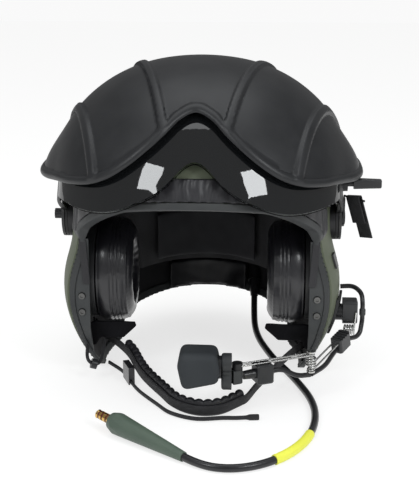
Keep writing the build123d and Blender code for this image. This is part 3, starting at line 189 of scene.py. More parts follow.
# %% [markdown]
# Two soft lamps stand where the visor mirrors them, like the windows of a room,
# and a broad one hangs overhead. They turn to the helmet, and their light is a little cool.
# Their size matters more than their power: it is the shape of the bright patch on the lens.

# %% Lamps
lamp_colour = (0.96, 0.985, 1.0)
# Each row holds a name, a place, a width and a height in metres, and a power in watts
lamps = (
    ("window_right_hand", (-0.445, -0.664, 0.647), 0.22, 0.30, 1.7),
    ("window_left_hand", (0.514, -0.640, 0.592), 0.25, 0.30, 2.3),
    ("overhead", (0.0, 0.15, 1.45), 1.2, 1.0, 5.5),
)
for name, place, width, height, power in lamps:
    lamp = bpy.data.lights.new(name, "AREA")
    lamp.shape = "RECTANGLE"
    lamp.size = width
    lamp.size_y = height
    lamp.energy = power
    lamp.color = lamp_colour
    holder = bpy.data.objects.new(name, lamp)
    bpy.context.scene.collection.objects.link(holder)
    holder.location = place
    holder.rotation_euler = (Vector(place) - pivot_middle).to_track_quat("Z", "Y").to_euler()
bpy.context.scene.view_settings.view_transform = "Standard"
print("lamps:", len(lamps))

# %% [markdown]
# Plastics, rubber and paint share one recipe: a colour that drifts a little across the piece,
# a roughness that drifts with it, and a fine grain that only tilts the surface.
# The grain is as large as it is on the real thing, so it shows in a close view and fades far off.
# First come the small patterns that the recipe is put together from.

# %% Patterns
turn_blend = 4 * mm


def noise_node(tree, size, detail=3.0):
    """A noise as large as size, fixed to the piece."""
    place = tree.nodes.new("ShaderNodeTexCoord")
    texture = tree.nodes.new("ShaderNodeTexNoise")
    texture.inputs["Scale"].default_value = 1 / size
    texture.inputs["Detail"].default_value = detail
    tree.links.new(place.outputs["Object"], texture.inputs["Vector"])
    return texture.outputs["Fac"]


def ramp(tree, source, low, high, low_at=0.35, high_at=0.65):
    """Two colours joined by a source value."""
    colours = tree.nodes.new("ShaderNodeValToRGB")
    colours.color_ramp.elements[0].position = low_at
    colours.color_ramp.elements[1].position = high_at
    colours.color_ramp.elements[0].color = (*low, 1)
    colours.color_ramp.elements[1].color = (*high, 1)
    tree.links.new(source, colours.inputs["Fac"])
    return colours.outputs["Color"]


def span(tree, source, low, high):
    """A source value between nothing and one, spread from low to high."""
    spread = tree.nodes.new("ShaderNodeMapRange")
    spread.inputs["To Min"].default_value = low
    spread.inputs["To Max"].default_value = high
    tree.links.new(source, spread.inputs["Value"])
    return spread.outputs["Result"]


def dent(tree, shader, height, depth):
    """Tilt the surface by a height pattern of that depth."""
    bump = tree.nodes.new("ShaderNodeBump")
    bump.inputs["Distance"].default_value = depth
    bump.inputs["Strength"].default_value = 1.0
    tree.links.new(height, bump.inputs["Height"])
    earlier = shader.inputs["Normal"]
    if earlier.is_linked:
        tree.links.new(earlier.links[0].from_socket, bump.inputs["Normal"])
    tree.links.new(bump.outputs["Normal"], earlier)


def facing_out(tree):
    """One on faces that look away from the helmet's middle, else nothing."""
    place = tree.nodes.new("ShaderNodeNewGeometry")
    turn = tree.nodes.new("ShaderNodeVectorMath")
    turn.operation = "DOT_PRODUCT"
    tree.links.new(place.outputs["Position"], turn.inputs[0])
    tree.links.new(place.outputs["True Normal"], turn.inputs[1])
    spread = tree.nodes.new("ShaderNodeMapRange")
    spread.inputs["From Min"].default_value = -turn_blend
    spread.inputs["From Max"].default_value = turn_blend
    tree.links.new(turn.outputs["Value"], spread.inputs["Value"])
    return spread.outputs["Result"]


def blend(tree, share, low, high):
    """Two colours, each a link or a colour, mixed by a share."""
    mixer = tree.nodes.new("ShaderNodeMix")
    mixer.data_type = "RGBA"
    tree.links.new(share, mixer.inputs["Factor"])
    for socket, value in ((mixer.inputs[6], low), (mixer.inputs[7], high)):
        if isinstance(value, tuple):
            socket.default_value = (*value, 1)
        else:
            tree.links.new(value, socket)
    return mixer.outputs[2]


print("patterns ready")

# %% [markdown]
# The recipe itself takes two near colours, a span of roughness and the size and depth of the grain.
# Paint can be rubbed paler along its edges, and a shell can be dark on its inner side.

# %% Finish recipe
drift_size = 28 * mm
wear_from = 0.515
wear_to = 0.56


def finish(name, low, high, roughness, grain, depth, metal=0.0, worn=None, lining=None):
    """A moulded, painted or cast surface, worn at its edges and dark on its inside if asked."""
    material, tree, shader = new_material(name)
    drift = noise_node(tree, drift_size)
    colour = ramp(tree, drift, low, high)
    if worn:
        edge = tree.nodes.new("ShaderNodeNewGeometry")
        mask = ramp(tree, edge.outputs["Pointiness"], (0, 0, 0), (1, 1, 1), wear_from, wear_to)
        rub = arithmetic(tree, "MULTIPLY", mask, noise_node(tree, drift_size / 6))
        colour = blend(tree, rub, colour, worn)
    if lining:
        colour = blend(tree, facing_out(tree), lining, colour)
    tree.links.new(colour, shader.inputs["Base Color"])
    tree.links.new(span(tree, noise_node(tree, drift_size / 4), *roughness), shader.inputs["Roughness"])
    shader.inputs["Metallic"].default_value = metal
    dent(tree, shader, noise_node(tree, grain, 2.0), depth)
    return material


print("finish recipe ready")

# %% [markdown]
# The shell is sprayed with a matt olive lacquer and is dark inside. The visor cover is satin black,
# and its ribs and edges are rubbed a little grey by gloves.

# %% Painted finishes
finishes = {}
finishes["shell_green"] = finish(
    "olive_lacquer",
    (0.098, 0.116, 0.074),
    (0.124, 0.142, 0.094),
    (0.55, 0.70),
    0.7 * mm,
    0.05 * mm,
    lining=(0.014, 0.014, 0.016),
)
finishes["cover_black"] = finish(
    "satin_cover",
    (0.011, 0.012, 0.014),
    (0.017, 0.018, 0.020),
    (0.38, 0.48),
    0.45 * mm,
    0.012 * mm,
    worn=(0.07, 0.07, 0.075),
)
print("painted finishes:", len(finishes))

# %% [markdown]
# Rubber is greyer and duller than moulded plastic, and the cable's jacket is the smoothest of them.
# The plug is moulded in green, with red rings between its contacts, and the sleeve is bright yellow.

# %% Rubber and plastic finishes
finishes["trim_rubber"] = finish(
    "grey_rubber", (0.030, 0.033, 0.035), (0.044, 0.047, 0.048), (0.5, 0.65), 0.5 * mm, 0.02 * mm
)
finishes["flange_grey"] = finish(
    "grey_flange", (0.036, 0.040, 0.042), (0.052, 0.056, 0.057), (0.48, 0.62), 0.6 * mm, 0.03 * mm
)
finishes["black_plastic"] = finish(
    "black_plastic", (0.016, 0.017, 0.019), (0.027, 0.028, 0.030), (0.32, 0.44), 0.4 * mm, 0.012 * mm
)
finishes["cable_black"] = finish(
    "cable_rubber", (0.014, 0.014, 0.016), (0.024, 0.024, 0.026), (0.25, 0.36), 0.5 * mm, 0.01 * mm
)
finishes["sleeve_yellow"] = finish(
    "yellow_sleeve", (0.86, 0.88, 0.07), (0.92, 0.94, 0.10), (0.35, 0.5), 2.0 * mm, 0.10 * mm
)
finishes["plug_green"] = finish(
    "green_moulding", (0.082, 0.118, 0.090), (0.104, 0.144, 0.108), (0.42, 0.55), 0.8 * mm, 0.03 * mm
)
finishes["insulator_red"] = finish(
    "red_insulator", (0.10, 0.014, 0.010), (0.16, 0.022, 0.016), (0.35, 0.5), 0.4 * mm, 0.01 * mm
)
print("finishes with rubber and plastic:", len(finishes))

# %% [markdown]
# The wires are bright spring steel, the fittings are blackened, and the plug's pin is gilded.
# The flange screws take a darker, duller steel than the boom's wires.

# %% Metal finishes
finishes["black_metal"] = finish(
    "blackened_steel",
    (0.018, 0.018, 0.020),
    (0.030, 0.030, 0.032),
    (0.3, 0.45),
    0.4 * mm,
    0.01 * mm,
    metal=0.4,
)
finishes["bright_steel"] = finish(
    "bright_steel",
    (0.50, 0.50, 0.49),
    (0.64, 0.64, 0.63),
    (0.20, 0.32),
    0.3 * mm,
    0.004 * mm,
    metal=1.0,
)
finishes["contact_gold"] = finish(
    "gold_contact",
    (0.72, 0.47, 0.16),
    (0.82, 0.60, 0.24),
    (0.18, 0.28),
    0.3 * mm,
    0.003 * mm,
    metal=1.0,
)
dull_steel = finish(
    "dull_steel", (0.09, 0.09, 0.09), (0.17, 0.17, 0.165), (0.24, 0.38), 0.3 * mm, 0.004 * mm, metal=1.0
)
print("finishes with metals:", len(finishes))

# %% [markdown]
# Foam and the cloth over the pads shine least. The liner's beads are coarse, and the microphone's
# foam has fine open cells.

# %% Foam and cloth finishes
finishes["liner_foam"] = finish(
    "bead_foam", (0.025, 0.025, 0.027), (0.045, 0.045, 0.048), (0.75, 0.9), 2.2 * mm, 0.25 * mm
)
finishes["pad_foam"] = finish(
    "pad_cloth", (0.020, 0.020, 0.023), (0.034, 0.034, 0.038), (0.75, 0.9), 0.6 * mm, 0.06 * mm
)
finishes["mic_foam"] = finish(
    "microphone_foam", (0.028, 0.033, 0.038), (0.040, 0.046, 0.051), (0.72, 0.85), 0.45 * mm, 0.10 * mm
)
print("hard and foam finishes:", len(finishes))

# %% [markdown]
# Leather has a pebbled grain, made of small cells with soft creases between them.
# A cell pattern gives the distance to the nearest crease, and this is used as the grain's height.
# The ear cushions have a polished face, so a thin coat lies over the grain.
# The wings under them take a leather painted darker than the others, as painted shade for the shadow
# under the cushions, and they have almost no shine.

# %% Leather finishes
pebble = 1.1 * mm
crease_share = 0.22
wrinkle = 7 * mm
wrinkle_times = 4
coat_roughness = 0.22
shaded_shine = 0.15


def leather(name, low, high, roughness, depth, coat):
    """Grained leather with cells as large as a pebble."""
    material, tree, shader = new_material(name)
    tree.links.new(ramp(tree, noise_node(tree, drift_size), low, high), shader.inputs["Base Color"])
    tree.links.new(span(tree, noise_node(tree, drift_size / 3), *roughness), shader.inputs["Roughness"])
    shader.inputs["Coat Weight"].default_value = coat
    shader.inputs["Coat Roughness"].default_value = coat_roughness
    place = tree.nodes.new("ShaderNodeTexCoord")
    cells = tree.nodes.new("ShaderNodeTexVoronoi")
    cells.feature = "DISTANCE_TO_EDGE"
    cells.inputs["Scale"].default_value = 1 / pebble
    tree.links.new(place.outputs["Object"], cells.inputs["Vector"])
    crease = ramp(tree, cells.outputs["Distance"], (0, 0, 0), (1, 1, 1), 0.0, crease_share)
    dent(tree, shader, crease, depth)
    dent(tree, shader, noise_node(tree, wrinkle), depth * wrinkle_times)
    return material


finishes["leather"] = leather(
    "polished_leather", (0.008, 0.008, 0.011), (0.016, 0.016, 0.020), (0.28, 0.40), 0.04 * mm, 0.5
)
strap_leather = leather(
    "strap_leather", (0.009, 0.009, 0.012), (0.018, 0.018, 0.022), (0.42, 0.55), 0.06 * mm, 0.15
)
# Painted shade: this leather is darker than the others so the wings sink into the shadow under the
# cushions.
painted_shade_leather = leather(
    "painted_shade_leather", (0.003, 0.003, 0.004), (0.006, 0.006, 0.008), (0.60, 0.75), 0.06 * mm, 0.0
)
painted_shade_shader = painted_shade_leather.node_tree.nodes["Principled BSDF"]
painted_shade_shader.inputs["Specular IOR Level"].default_value = shaded_shine
print("leathers ready, pebble", round(pebble / mm, 1), "mm")

# %% [markdown]
# Two visors lie one behind the other: a smoke-coloured one that lets little light through,
# and a clear one. Their ears at the pivots are blackened, so those hide the hinge behind them.
# A lens is one material with two halves, parted by the distance from the helmet's middle.

# %% Lens finishes
ear_from = 112.5 * mm
ear_black = (0.010, 0.010, 0.011)
ear_roughness = 0.5
haze_share = 0.94


def lens(name, colour, roughness, index, passing):
    """A clear or smoke-coloured lens with blackened ears, which lie beyond ear_from."""
    material, tree, shader = new_material(name)
    place = tree.nodes.new("ShaderNodeTexCoord")
    parts = tree.nodes.new("ShaderNodeSeparateXYZ")
    tree.links.new(place.outputs["Object"], parts.inputs["Vector"])
    aside = arithmetic(tree, "ABSOLUTE", parts.outputs["X"])
    ear = arithmetic(tree, "GREATER_THAN", aside, ear_from)
    haze = ramp(tree, noise_node(tree, drift_size * 2), [c * haze_share for c in colour], colour)
    tree.links.new(blend(tree, ear, haze, ear_black), shader.inputs["Base Color"])
    polish = span(tree, noise_node(tree, drift_size), *roughness)
    dull = arithmetic(tree, "MULTIPLY", ear, ear_roughness)
    tree.links.new(arithmetic(tree, "MAXIMUM", polish, dull), shader.inputs["Roughness"])
    tree.links.new(span(tree, ear, passing, 0.0), shader.inputs["Transmission Weight"])
    shader.inputs["IOR"].default_value = index
    return material


finishes["visor_tinted"] = lens("smoke_lens", (0.010, 0.011, 0.012), (0.02, 0.04), 1.7, 0.3)
finishes["visor_clear"] = lens("clear_lens", (0.90, 0.93, 0.91), (0.02, 0.04), 1.49, 1.0)
print("lens ears from", round(ear_from / mm, 1), "mm beside the middle")

# %% [markdown]
# Webbing is woven: narrow ribs run along it and finer picks cross them.
# Threads could be modelled one by one, but at this size two crossed waves look the same.
# A strip carries its own measure, along and across in millimetres, so the weave follows every bend.

# %% Webbing finish
rib_size = 1.25
pick_size = 0.8
weave_depth = 0.12 * mm
weave_roughness = 0.78
weave_sheen = 0.1


def wave_node(tree, source, size):
    """Even ridges as far apart as size along a source measure."""
    turn = arithmetic(tree, "MULTIPLY", source, 2 * math.pi / size)
    return arithmetic(tree, "SINE", turn)


def webbing(name, low, high):
    """Woven strap, measured along and across each strip."""
    material, tree, shader = new_material(name)
    measure = tree.nodes.new("ShaderNodeUVMap")
    measure.uv_map = "measure"
    parts = tree.nodes.new("ShaderNodeSeparateXYZ")
    tree.links.new(measure.outputs["UV"], parts.inputs["Vector"])
    picks = wave_node(tree, parts.outputs["X"], pick_size)
    ribs = wave_node(tree, parts.outputs["Y"], rib_size)
    crossing = arithmetic(tree, "MULTIPLY", picks, ribs)
    tree.links.new(ramp(tree, noise_node(tree, drift_size / 4), low, high), shader.inputs["Base Color"])
    shader.inputs["Roughness"].default_value = weave_roughness
    shader.inputs["Sheen Weight"].default_value = weave_sheen
    dent(tree, shader, span(tree, crossing, 0.0, 1.0), weave_depth)
    return material


finishes["webbing"] = webbing("black_webbing", (0.012, 0.012, 0.014), (0.024, 0.024, 0.027))
print("webbing finish ready")

# %% [markdown]
# Every hard node of the frame keeps its own solid and takes the finish of its slot.
# Curved faces are shaded smooth, and edges sharper than a set angle stay crisp.

# %% Finishes on the frame's own pieces
crisp_angle = math.radians(32)
slot_of = {entry["node"]: entry["material_slot"] for entry in frame["record"]["subparts"]}
for name, node in nodes.items():
    node.data.materials.clear()
    node.data.materials.append(finishes[slot_of[name]])
    node.data.shade_smooth()
    node.data.set_sharp_from_angle(angle=crisp_angle)
nodes["flange_screws"].data.materials[0] = dull_steel
print("nodes with a slot:", len(slot_of))

# %% [markdown]
# The cord leaves its gland at the nape, runs under the helmet and curves forward to its plug.
# It is one smooth curve led by a few listed points, as a heavy cable lies when it is set down.

# %% Cord
cord_width = 6.0 * mm
# From the plug to the gland, in millimetres
cord_route = (
    (-3, -197, -75.8),
    (10, -207.5, -77),
    (31, -212, -77),
    (53, -204.5, -77),
    (72, -189, -76.1),
    (85.5, -167, -76.1),
    (93, -141, -76.6),
    (95.5, -113, -77),
    (92.5, -86, -77),
    (85, -60, -77),
    (76, -34, -77),
    (65, -8, -77),
    (57, 18, -77),
    (50, 44, -76.5),
    (46, 68, -74),
    (45, 88, -66),
    (45, 101, -54),
)
print("cord points:", len(cord_route))

# %% [markdown]
# Blender's own curves make the cord: a route leads a smooth line, and a bevel gives it thickness.
# The same line without thickness gives the places along it, from which the length is measured.

# %% Cord curve
cord_rounding = 8


def route_curve(name, route, radius):
    """A smooth curve whose control points are a route in millimetres."""
    curve = bpy.data.curves.new(name, "CURVE")
    curve.dimensions = "3D"
    line = curve.splines.new("NURBS")
    line.points.add(len(route) - 1)
    for point, place in zip(line.points, route):
        point.co = (*[c * mm for c in place], 1)
    line.order_u = 3
    line.use_endpoint_u = True
    curve.resolution_u = 16
    curve.bevel_depth = radius
    curve.bevel_resolution = cord_rounding
    curve.use_fill_caps = True
    piece = bpy.data.objects.new(name, curve)
    bpy.context.scene.collection.objects.link(piece)
    return piece


def curve_places(route):
    """Points read along the smooth curve of a route."""
    bare = route_curve("bare_line", route, 0.0)
    mesh = bpy.data.meshes.new_from_object(bare)
    places = [vertex.co.copy() for vertex in mesh.vertices]
    bpy.data.objects.remove(bare)
    return places


def line_length(places):
    """Length along a line of places."""
    return sum((b - a).length for a, b in zip(places, places[1:]))


cord = route_curve("cord_line", cord_route, cord_width / 2)
cord.data.materials.append(finishes["cable_black"])
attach(cord, "helmet")
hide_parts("cord")
cord_places = curve_places(cord_route)

# %% [markdown]
# Strips, tubes and pads that follow a line are made by one helper: a section is set square
# to the line at every place, and the sections are joined into a closed skin.
# The skin also stores its measure along and across, which the weave reads.

# %% Sweep helper
seam_angle = math.radians(50)
upright = Vector((0, 0, 1))


def smooth_line(points, steps=10):
    """A smooth line that passes through the points."""
    knots = [Vector(p) for p in points]
    knots = [knots[0] * 2 - knots[1]] + knots + [knots[-1] * 2 - knots[-2]]
    places = []
    for a, b, c, d in zip(knots, knots[1:], knots[2:], knots[3:]):
        for step in range(steps):
            t = step / steps
            bend = (2 * a - 5 * b + 4 * c - d) * t * t
            twist = (3 * b - a - 3 * c + d) * t ** 3
            places.append(0.5 * (2 * b + (c - a) * t + bend + twist))
    places.append(knots[-2].copy())
    return places


def new_piece(name, points, faces, material, body):
    """A mesh piece that rides on a body and wears the finish it is given."""
    mesh = bpy.data.meshes.new(name)
    mesh.from_pydata([tuple(p) for p in points], [], faces)
    mesh.update()
    solid = bmesh.new()
    solid.from_mesh(mesh)
    bmesh.ops.recalc_face_normals(solid, faces=solid.faces)
    solid.to_mesh(mesh)
    solid.free()
    mesh.shade_smooth()
    mesh.materials.append(material)
    piece = bpy.data.objects.new(name, mesh)
    bpy.context.scene.collection.objects.link(piece)
    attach(piece, body)
    return piece


def swept(name, line, up, section, material, body):
    """A closed skin along a line: section(share) gives pairs across the line and along up."""
    points = []
    measure = []
    travelled = 0.0
    for index, place in enumerate(line):
        before = line[max(index - 1, 0)]
        after = line[min(index + 1, len(line) - 1)]
        travelled += (place - before).length
        across = (after - before).cross(up).normalized()
        rise = across.cross(after - before).normalized()
        for a, u in section(index / (len(line) - 1)):
            points.append(place + across * a + rise * u)
            measure.append((travelled / mm, (a + u) / mm))
    ring = len(points) // len(line)
    faces = []
    for i in range(len(line) - 1):
        for j in range(ring):
            k = (j + 1) % ring
            faces.append((i * ring + j, i * ring + k, (i + 1) * ring + k, (i + 1) * ring + j))
    faces.append(tuple(range(ring)))
    faces.append(tuple((len(line) - 1) * ring + j for j in range(ring)))
    piece = new_piece(name, points, faces, material, body)
    layer = piece.data.uv_layers.new(name="measure")
    for loop in piece.data.loops:
        layer.data[loop.index].uv = measure[loop.vertex_index]
    piece.data.set_sharp_from_angle(angle=seam_angle)
    return piece


def flat_section(thick, wide, edge_steps=6):
    """A strip's section with rounded edges: thick across, wide along up."""
    radius = thick / 2
    reach = wide / 2 - radius
    pairs = []
    for way, start in ((1, 0.0), (-1, math.pi)):
        for step in range(edge_steps + 1):
            angle = start + math.pi * step / edge_steps
            pairs.append((radius * math.cos(angle), way * reach + radius * math.sin(angle)))
    return pairs


def round_section(radius, sides=20):
    """A round tube's section."""
    angles = [2 * math.pi * side / sides for side in range(sides)]
    return [(radius * math.cos(angle), radius * math.sin(angle)) for angle in angles]


print("sweep helper ready")

# %% [markdown]
# The yellow sleeve is shrunk over the cord, so it follows the cord's own curve.
# A straight tube would cut through that curve, so the sleeve is swept along the cord's places.
# Its wall is thin, and it grips the cord with slight waves along its length.

# %% Yellow sleeve
sleeve_start = Vector((62.5, -196.75, -76.5)) * mm
sleeve_end = Vector((89.25, -154, -76.35)) * mm
sleeve_radius = 3.85 * mm
sleeve_wave = 0.06 * mm
sleeve_waves = 9


def nearest(places, target):
    """The number of the place closest to a target."""
    return min(range(len(places)), key=lambda index: (places[index] - target).length)


def sleeve_section(share):
    """The sleeve's round section, waved along its length."""
    return round_section(sleeve_radius + sleeve_wave * math.sin(share * sleeve_waves * 2 * math.pi))


first, last = sorted((nearest(cord_places, sleeve_start), nearest(cord_places, sleeve_end)))
sleeve_line = cord_places[first : last + 1]
sleeve_finish = finishes["sleeve_yellow"]
sleeve = swept(
    "yellow_sleeve", sleeve_line, upright, sleeve_section, sleeve_finish, "helmet"
)
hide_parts("cord_sleeve")
print("sleeve length", round(line_length(sleeve_line) / mm, 1), "mm")

# %% [markdown]
# The visor cover is a moulded dome turned about the visors' pivot axis, with four welted ribs
# and a rolled bead along its lower edge.
# It is built as a grid: across the dome from ear to ear, and round it from the edge to the rear.
# Two lines give that grid: the dome's, from ear to ear, and the height of the lower edge.

# %% Visor cover lines
cover_half_width = 134.0
cover_reach = 136.0
dome_power = 2.2
# Each row holds a place across and the edge's height there, as shares of the two sizes above
cover_edge_shares = (
    (0.0, 0.765),
    (0.09, 0.728),
    (0.172, 0.654),
    (0.265, 0.575),
    (0.376, 0.489),
    (0.489, 0.417),
    (0.605, 0.370),
    (0.73, 0.345),
    (0.82, 0.332),
    (0.925, 0.309),
    (1.06, 0.292),
)
cover_ear = 132.0
cover_ear_line = ((cover_ear - 1.5, 50.5), (cover_ear, 32.5), (cover_ear, 22.0))


def dome_line():
    """Places across and out from the pivot axis, from one ear over the top to the other."""
    half = [(0.0, cover_reach)]
    for step in range(5, 1, -1):
        angle = math.pi * step / 12
        across = math.cos(angle) ** (2 / dome_power) * cover_half_width
        half.append((across, math.sin(angle) ** (2 / dome_power) * cover_reach))
    half += cover_ear_line
    return [(-x, r, 0) for x, r in reversed(half[1:])] + [(x, r, 0) for x, r in half]


def share_curve(shares, wide, tall):
    """A smooth function of the distance from the middle, given by shares."""
    points = [(-x * wide, z * tall, 0) for x, z in reversed(shares[1:])]
    points += [(x * wide, z * tall, 0) for x, z in shares]
    line = smooth_line(points, 24)

    def height(across):
        for a, b in zip(line, line[1:]):
            if a.x <= across <= b.x:
                return a.y + (b.y - a.y) * (across - a.x) / (b.x - a.x)
        return line[-1].y

    return height


cover_edge = share_curve(cover_edge_shares, cover_half_width, cover_reach)
print("cover edge peak", round(cover_edge(0.0), 1), "mm above the pivots")

# %% [markdown]
# The ribs and the bead are raised in the grid itself, so their shoulders are as soft as on the
# moulding. A shallow groove runs beside each rib, and the bead is a half round along the edge.

# %% Ribs and bead of the cover
# Each row holds a rib's place across, its place forward, its width and its turn in degrees
rib_places = ((0.18, -0.72, 6.6, 14), (0.58, -0.75, 5.6, 15))
rib_proud = 2.7
rib_crown = 0.18
rib_shoulder = 0.9
rib_groove = 0.35
rib_least = 0.05
bead_width = 6.0
bead_proud = 2.6


def smooth_step(value):
    """An even rise from nothing to one."""
    t = max(0.0, min(1.0, value))
    return t * t * (3 - 2 * t)


def rib_height(place):
    """How far the ribs stand out at a place in millimetres."""
    tallest = 0.0
    deepest = 0.0
    for across, forward, width, turn in rib_places:
        for side in (1, -1):
            angle = math.radians(side * turn)
            x = place.x - side * across * cover_half_width
            y = place.y - forward * cover_reach
            apart = abs(x * math.cos(angle) - y * math.sin(angle))
            edge = 1 - smooth_step((apart - width / 2 + rib_shoulder / 2) / rib_shoulder)
            crown = 1 - rib_crown + rib_crown * math.cos(min(apart / width * 2, 1) * math.pi / 2)
            beside = math.exp(-(((apart - width / 2 - rib_shoulder) / rib_shoulder) ** 2))
            tallest = max(tallest, rib_proud * edge * crown)
            deepest = max(deepest, rib_groove * beside)
    return tallest if tallest > rib_least else -deepest


def bead_height(above):
    """How far the rolled edge stands out at a distance above the lower edge."""
    share = (above - bead_width / 2) / (bead_width / 2)
    if share >= 1:
        return 0.0
    return bead_proud * math.sqrt(max(0.0, 1 - share * share))


print("ribs", 2 * len(rib_places), "each", rib_proud, "mm proud")

# %% [markdown]
# The grid is finer near the lower edge, where the bead curves, and even above it.
# A ray from outside finds the shell behind the cover, where its rear has to sit down.

# %% Grid of the cover
cover_columns = 300
cover_rows = 96
bead_rows = 14
bead_span = 8.0
bead_span_share = 0.4
edge_spare = 1.2
highest_rise = 0.999
rear_turn = math.radians(118)
ray_reach = 0.4

shell_tree = BVHTree.FromPolygons(
    [v.co.copy() for v in nodes["shell"].data.vertices],
    [tuple(p.vertices) for p in nodes["shell"].data.polygons],
)


def shell_distance(across, turn):
    """Distance in millimetres from the pivot axis to the shell, or None where it misses."""
    way = Vector((0, -math.cos(turn), math.sin(turn)))
    start = Vector((across * mm, 0, pivot_level)) + way * ray_reach
    hit = shell_tree.ray_cast(start, -way)
    return None if hit[0] is None else (ray_reach - hit[3]) / mm


def on_dome(across, out, turn):
    """A place in millimetres, given across, out from the pivot axis and round from the front."""
    return Vector((across, -out * math.cos(turn), pivot_level / mm + out * math.sin(turn)))


def even_line(line, count):
    """The same line with evenly spaced places."""
    lengths = [0.0]
    for a, b in zip(line, line[1:]):
        lengths.append(lengths[-1] + (b - a).length)
    places = []
    index = 0
    for step in range(count):
        goal = lengths[-1] * step / (count - 1)
        while index < len(line) - 2 and lengths[index + 1] < goal:
            index += 1
        share = (goal - lengths[index]) / max(lengths[index + 1] - lengths[index], 1e-9)
        places.append(line[index].lerp(line[index + 1], share))
    return places


def column_turns(across, out):
    """Turns from the lower edge to the rear for one column of the dome."""
    rise = min(cover_edge(across) / out, highest_rise)
    start = math.asin(rise)
    end = min(rear_turn, math.pi - start)
    length = (end - start) * out
    near = min(bead_span, length * bead_span_share) / out
    upper_rows = cover_rows - bead_rows
    turns = []
    for row in range(bead_rows):
        turns.append(start + near * (1 - math.cos(math.pi / 2 * row / bead_rows)))
    for row in range(upper_rows):
        turns.append(start + near + (end - start - near) * row / (upper_rows - 1))
    return turns


dome = [p for p in smooth_line(dome_line(), 16) if p.y > cover_edge(p.x) + edge_spare]
columns = even_line(dome, cover_columns)
base = [[on_dome(p.x, p.y, turn) for turn in column_turns(p.x, p.y)] for p in columns]
print("cover grid", cover_columns, "by", cover_rows)

# %% [markdown]
# Each column is raised along the surface's own normal. Behind its rear edge the cover turns in
# to the shell and ends in a thin flange for its screws, so each column gets a few more places.
# Rib and bead are joined by their fourth powers, which rounds the corner where they meet.

# %% Skin of the cover
wall_rows = 3
flange_rows = 4
flange_turn = math.radians(124.5)
flange_stand = 2.75
steepest_edge = 1.6
rib_fade = 3.0
least_wall = 0.5

dome_centre = Vector((0, 0, pivot_level / mm))


def raised_column(index):
    """One column of the dome, with ribs and bead raised along the surface's normal."""
    column = base[index]
    left = base[max(index - 1, 0)]
    right = base[min(index + 1, cover_columns - 1)]
    slope = (cover_edge(right[0].x) - cover_edge(left[0].x)) / max(right[0].x - left[0].x, 1e-6)
    lean = math.sqrt(1 + min(abs(slope), steepest_edge) ** 2)
    places = []
    for row, place in enumerate(column):
        along = right[row] - left[row]
        up = column[min(row + 1, cover_rows - 1)] - column[max(row - 1, 0)]
        normal = along.cross(up).normalized()
        if normal.dot(place - dome_centre) < 0:
            normal = -normal
        above = (place.z - column[0].z) / lean
        rib = rib_height(place) * smooth_step(above / rib_fade)
        bead = bead_height(above) if row < cover_rows - 1 or above > bead_width else 0.0
        lift = (rib ** 4 + bead ** 4) ** 0.25 if rib > 0 else max(rib, bead)
        places.append(place + normal * lift)
    return places


def rear_places(across, out):
    """The wall and the flange behind one column, set down on the shell."""
    edge = cover_edge(across)
    last_turn = column_turns(across, out)[-1]
    stand = shell_distance(across, last_turn)
    inner = out if stand is None else min(stand + flange_stand, out)
    inner = min(max(inner, edge / math.sin(last_turn)), out)
    places = []
    for row in range(1, wall_rows + 1):
        places.append(on_dome(across, out + (inner - out) * row / wall_rows, last_turn))
    for row in range(1, flange_rows + 1):
        turn = last_turn + (flange_turn - rear_turn) * row / flange_rows
        stand = shell_distance(across, turn)
        reach = inner if stand is None else stand + flange_stand
        reach = max(reach, edge / math.sin(turn))
        if inner >= out - least_wall:
            reach, turn = inner, last_turn
        places.append(on_dome(across, reach, turn))
    return places


cover_points = []
for index, top in enumerate(columns):
    cover_points += [place * mm for place in raised_column(index) + rear_places(top.x, top.y)]
rows = cover_rows + wall_rows + flange_rows
cover_faces = [
    (i * rows + j, (i + 1) * rows + j, (i + 1) * rows + j + 1, i * rows + j + 1)
    for i in range(cover_columns - 1)
    for j in range(rows - 1)
]
cover_finish = finishes["cover_black"]
cover = new_piece("moulded_cover", cover_points, cover_faces, cover_finish, "helmet")
print("cover skin places", len(cover_points))

# %% [markdown]
# The skin gets its wall inwards with a modifier, and the frame's own cover is then hidden.
# Places that fell together at the ears are joined first, so no face is left without a size.

# %% Wall of the cover
cover_wall = 2.4


def keep_shape(piece):
    """Turn a piece's modifiers into its mesh."""
    bpy.context.view_layer.update()
    ready = piece.evaluated_get(bpy.context.evaluated_depsgraph_get())
    mesh = bpy.data.meshes.new_from_object(ready)
    piece.modifiers.clear()
    piece.data = mesh


def merged(piece, apart):
    """Join points of a piece that lie together and drop flat faces."""
    solid = bmesh.new()
    solid.from_mesh(piece.data)
    bmesh.ops.remove_doubles(solid, verts=solid.verts, dist=apart)
    bmesh.ops.dissolve_degenerate(solid, edges=solid.edges, dist=apart)
    bmesh.ops.recalc_face_normals(solid, faces=solid.faces)
    solid.to_mesh(piece.data)
    solid.free()


merged(cover, 0.02 * mm)
top_face = max(cover.data.polygons, key=lambda face: face.center.z)
if top_face.normal.z < 0:
    cover.data.flip_normals()
wall = cover.modifiers.new("wall", "SOLIDIFY")
wall.thickness = cover_wall * mm
wall.offset = -1
wall.use_even_offset = False
keep_shape(cover)
cover.data.shade_smooth()
cover.data.set_sharp_from_angle(angle=seam_angle)
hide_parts("visor_cover")
print("cover faces", len(cover.data.polygons))

# %% [markdown]
# Each ear cushion is a leather ring filled with foam. A welt joins its face to its side,
# and three sewn channels run round the side, which is why it shows lines from the front.
# A plain ring with a bumpy finish would lose them at the outline, so they are modelled:
# a function says how far the leather stands out or is drawn in at each place.

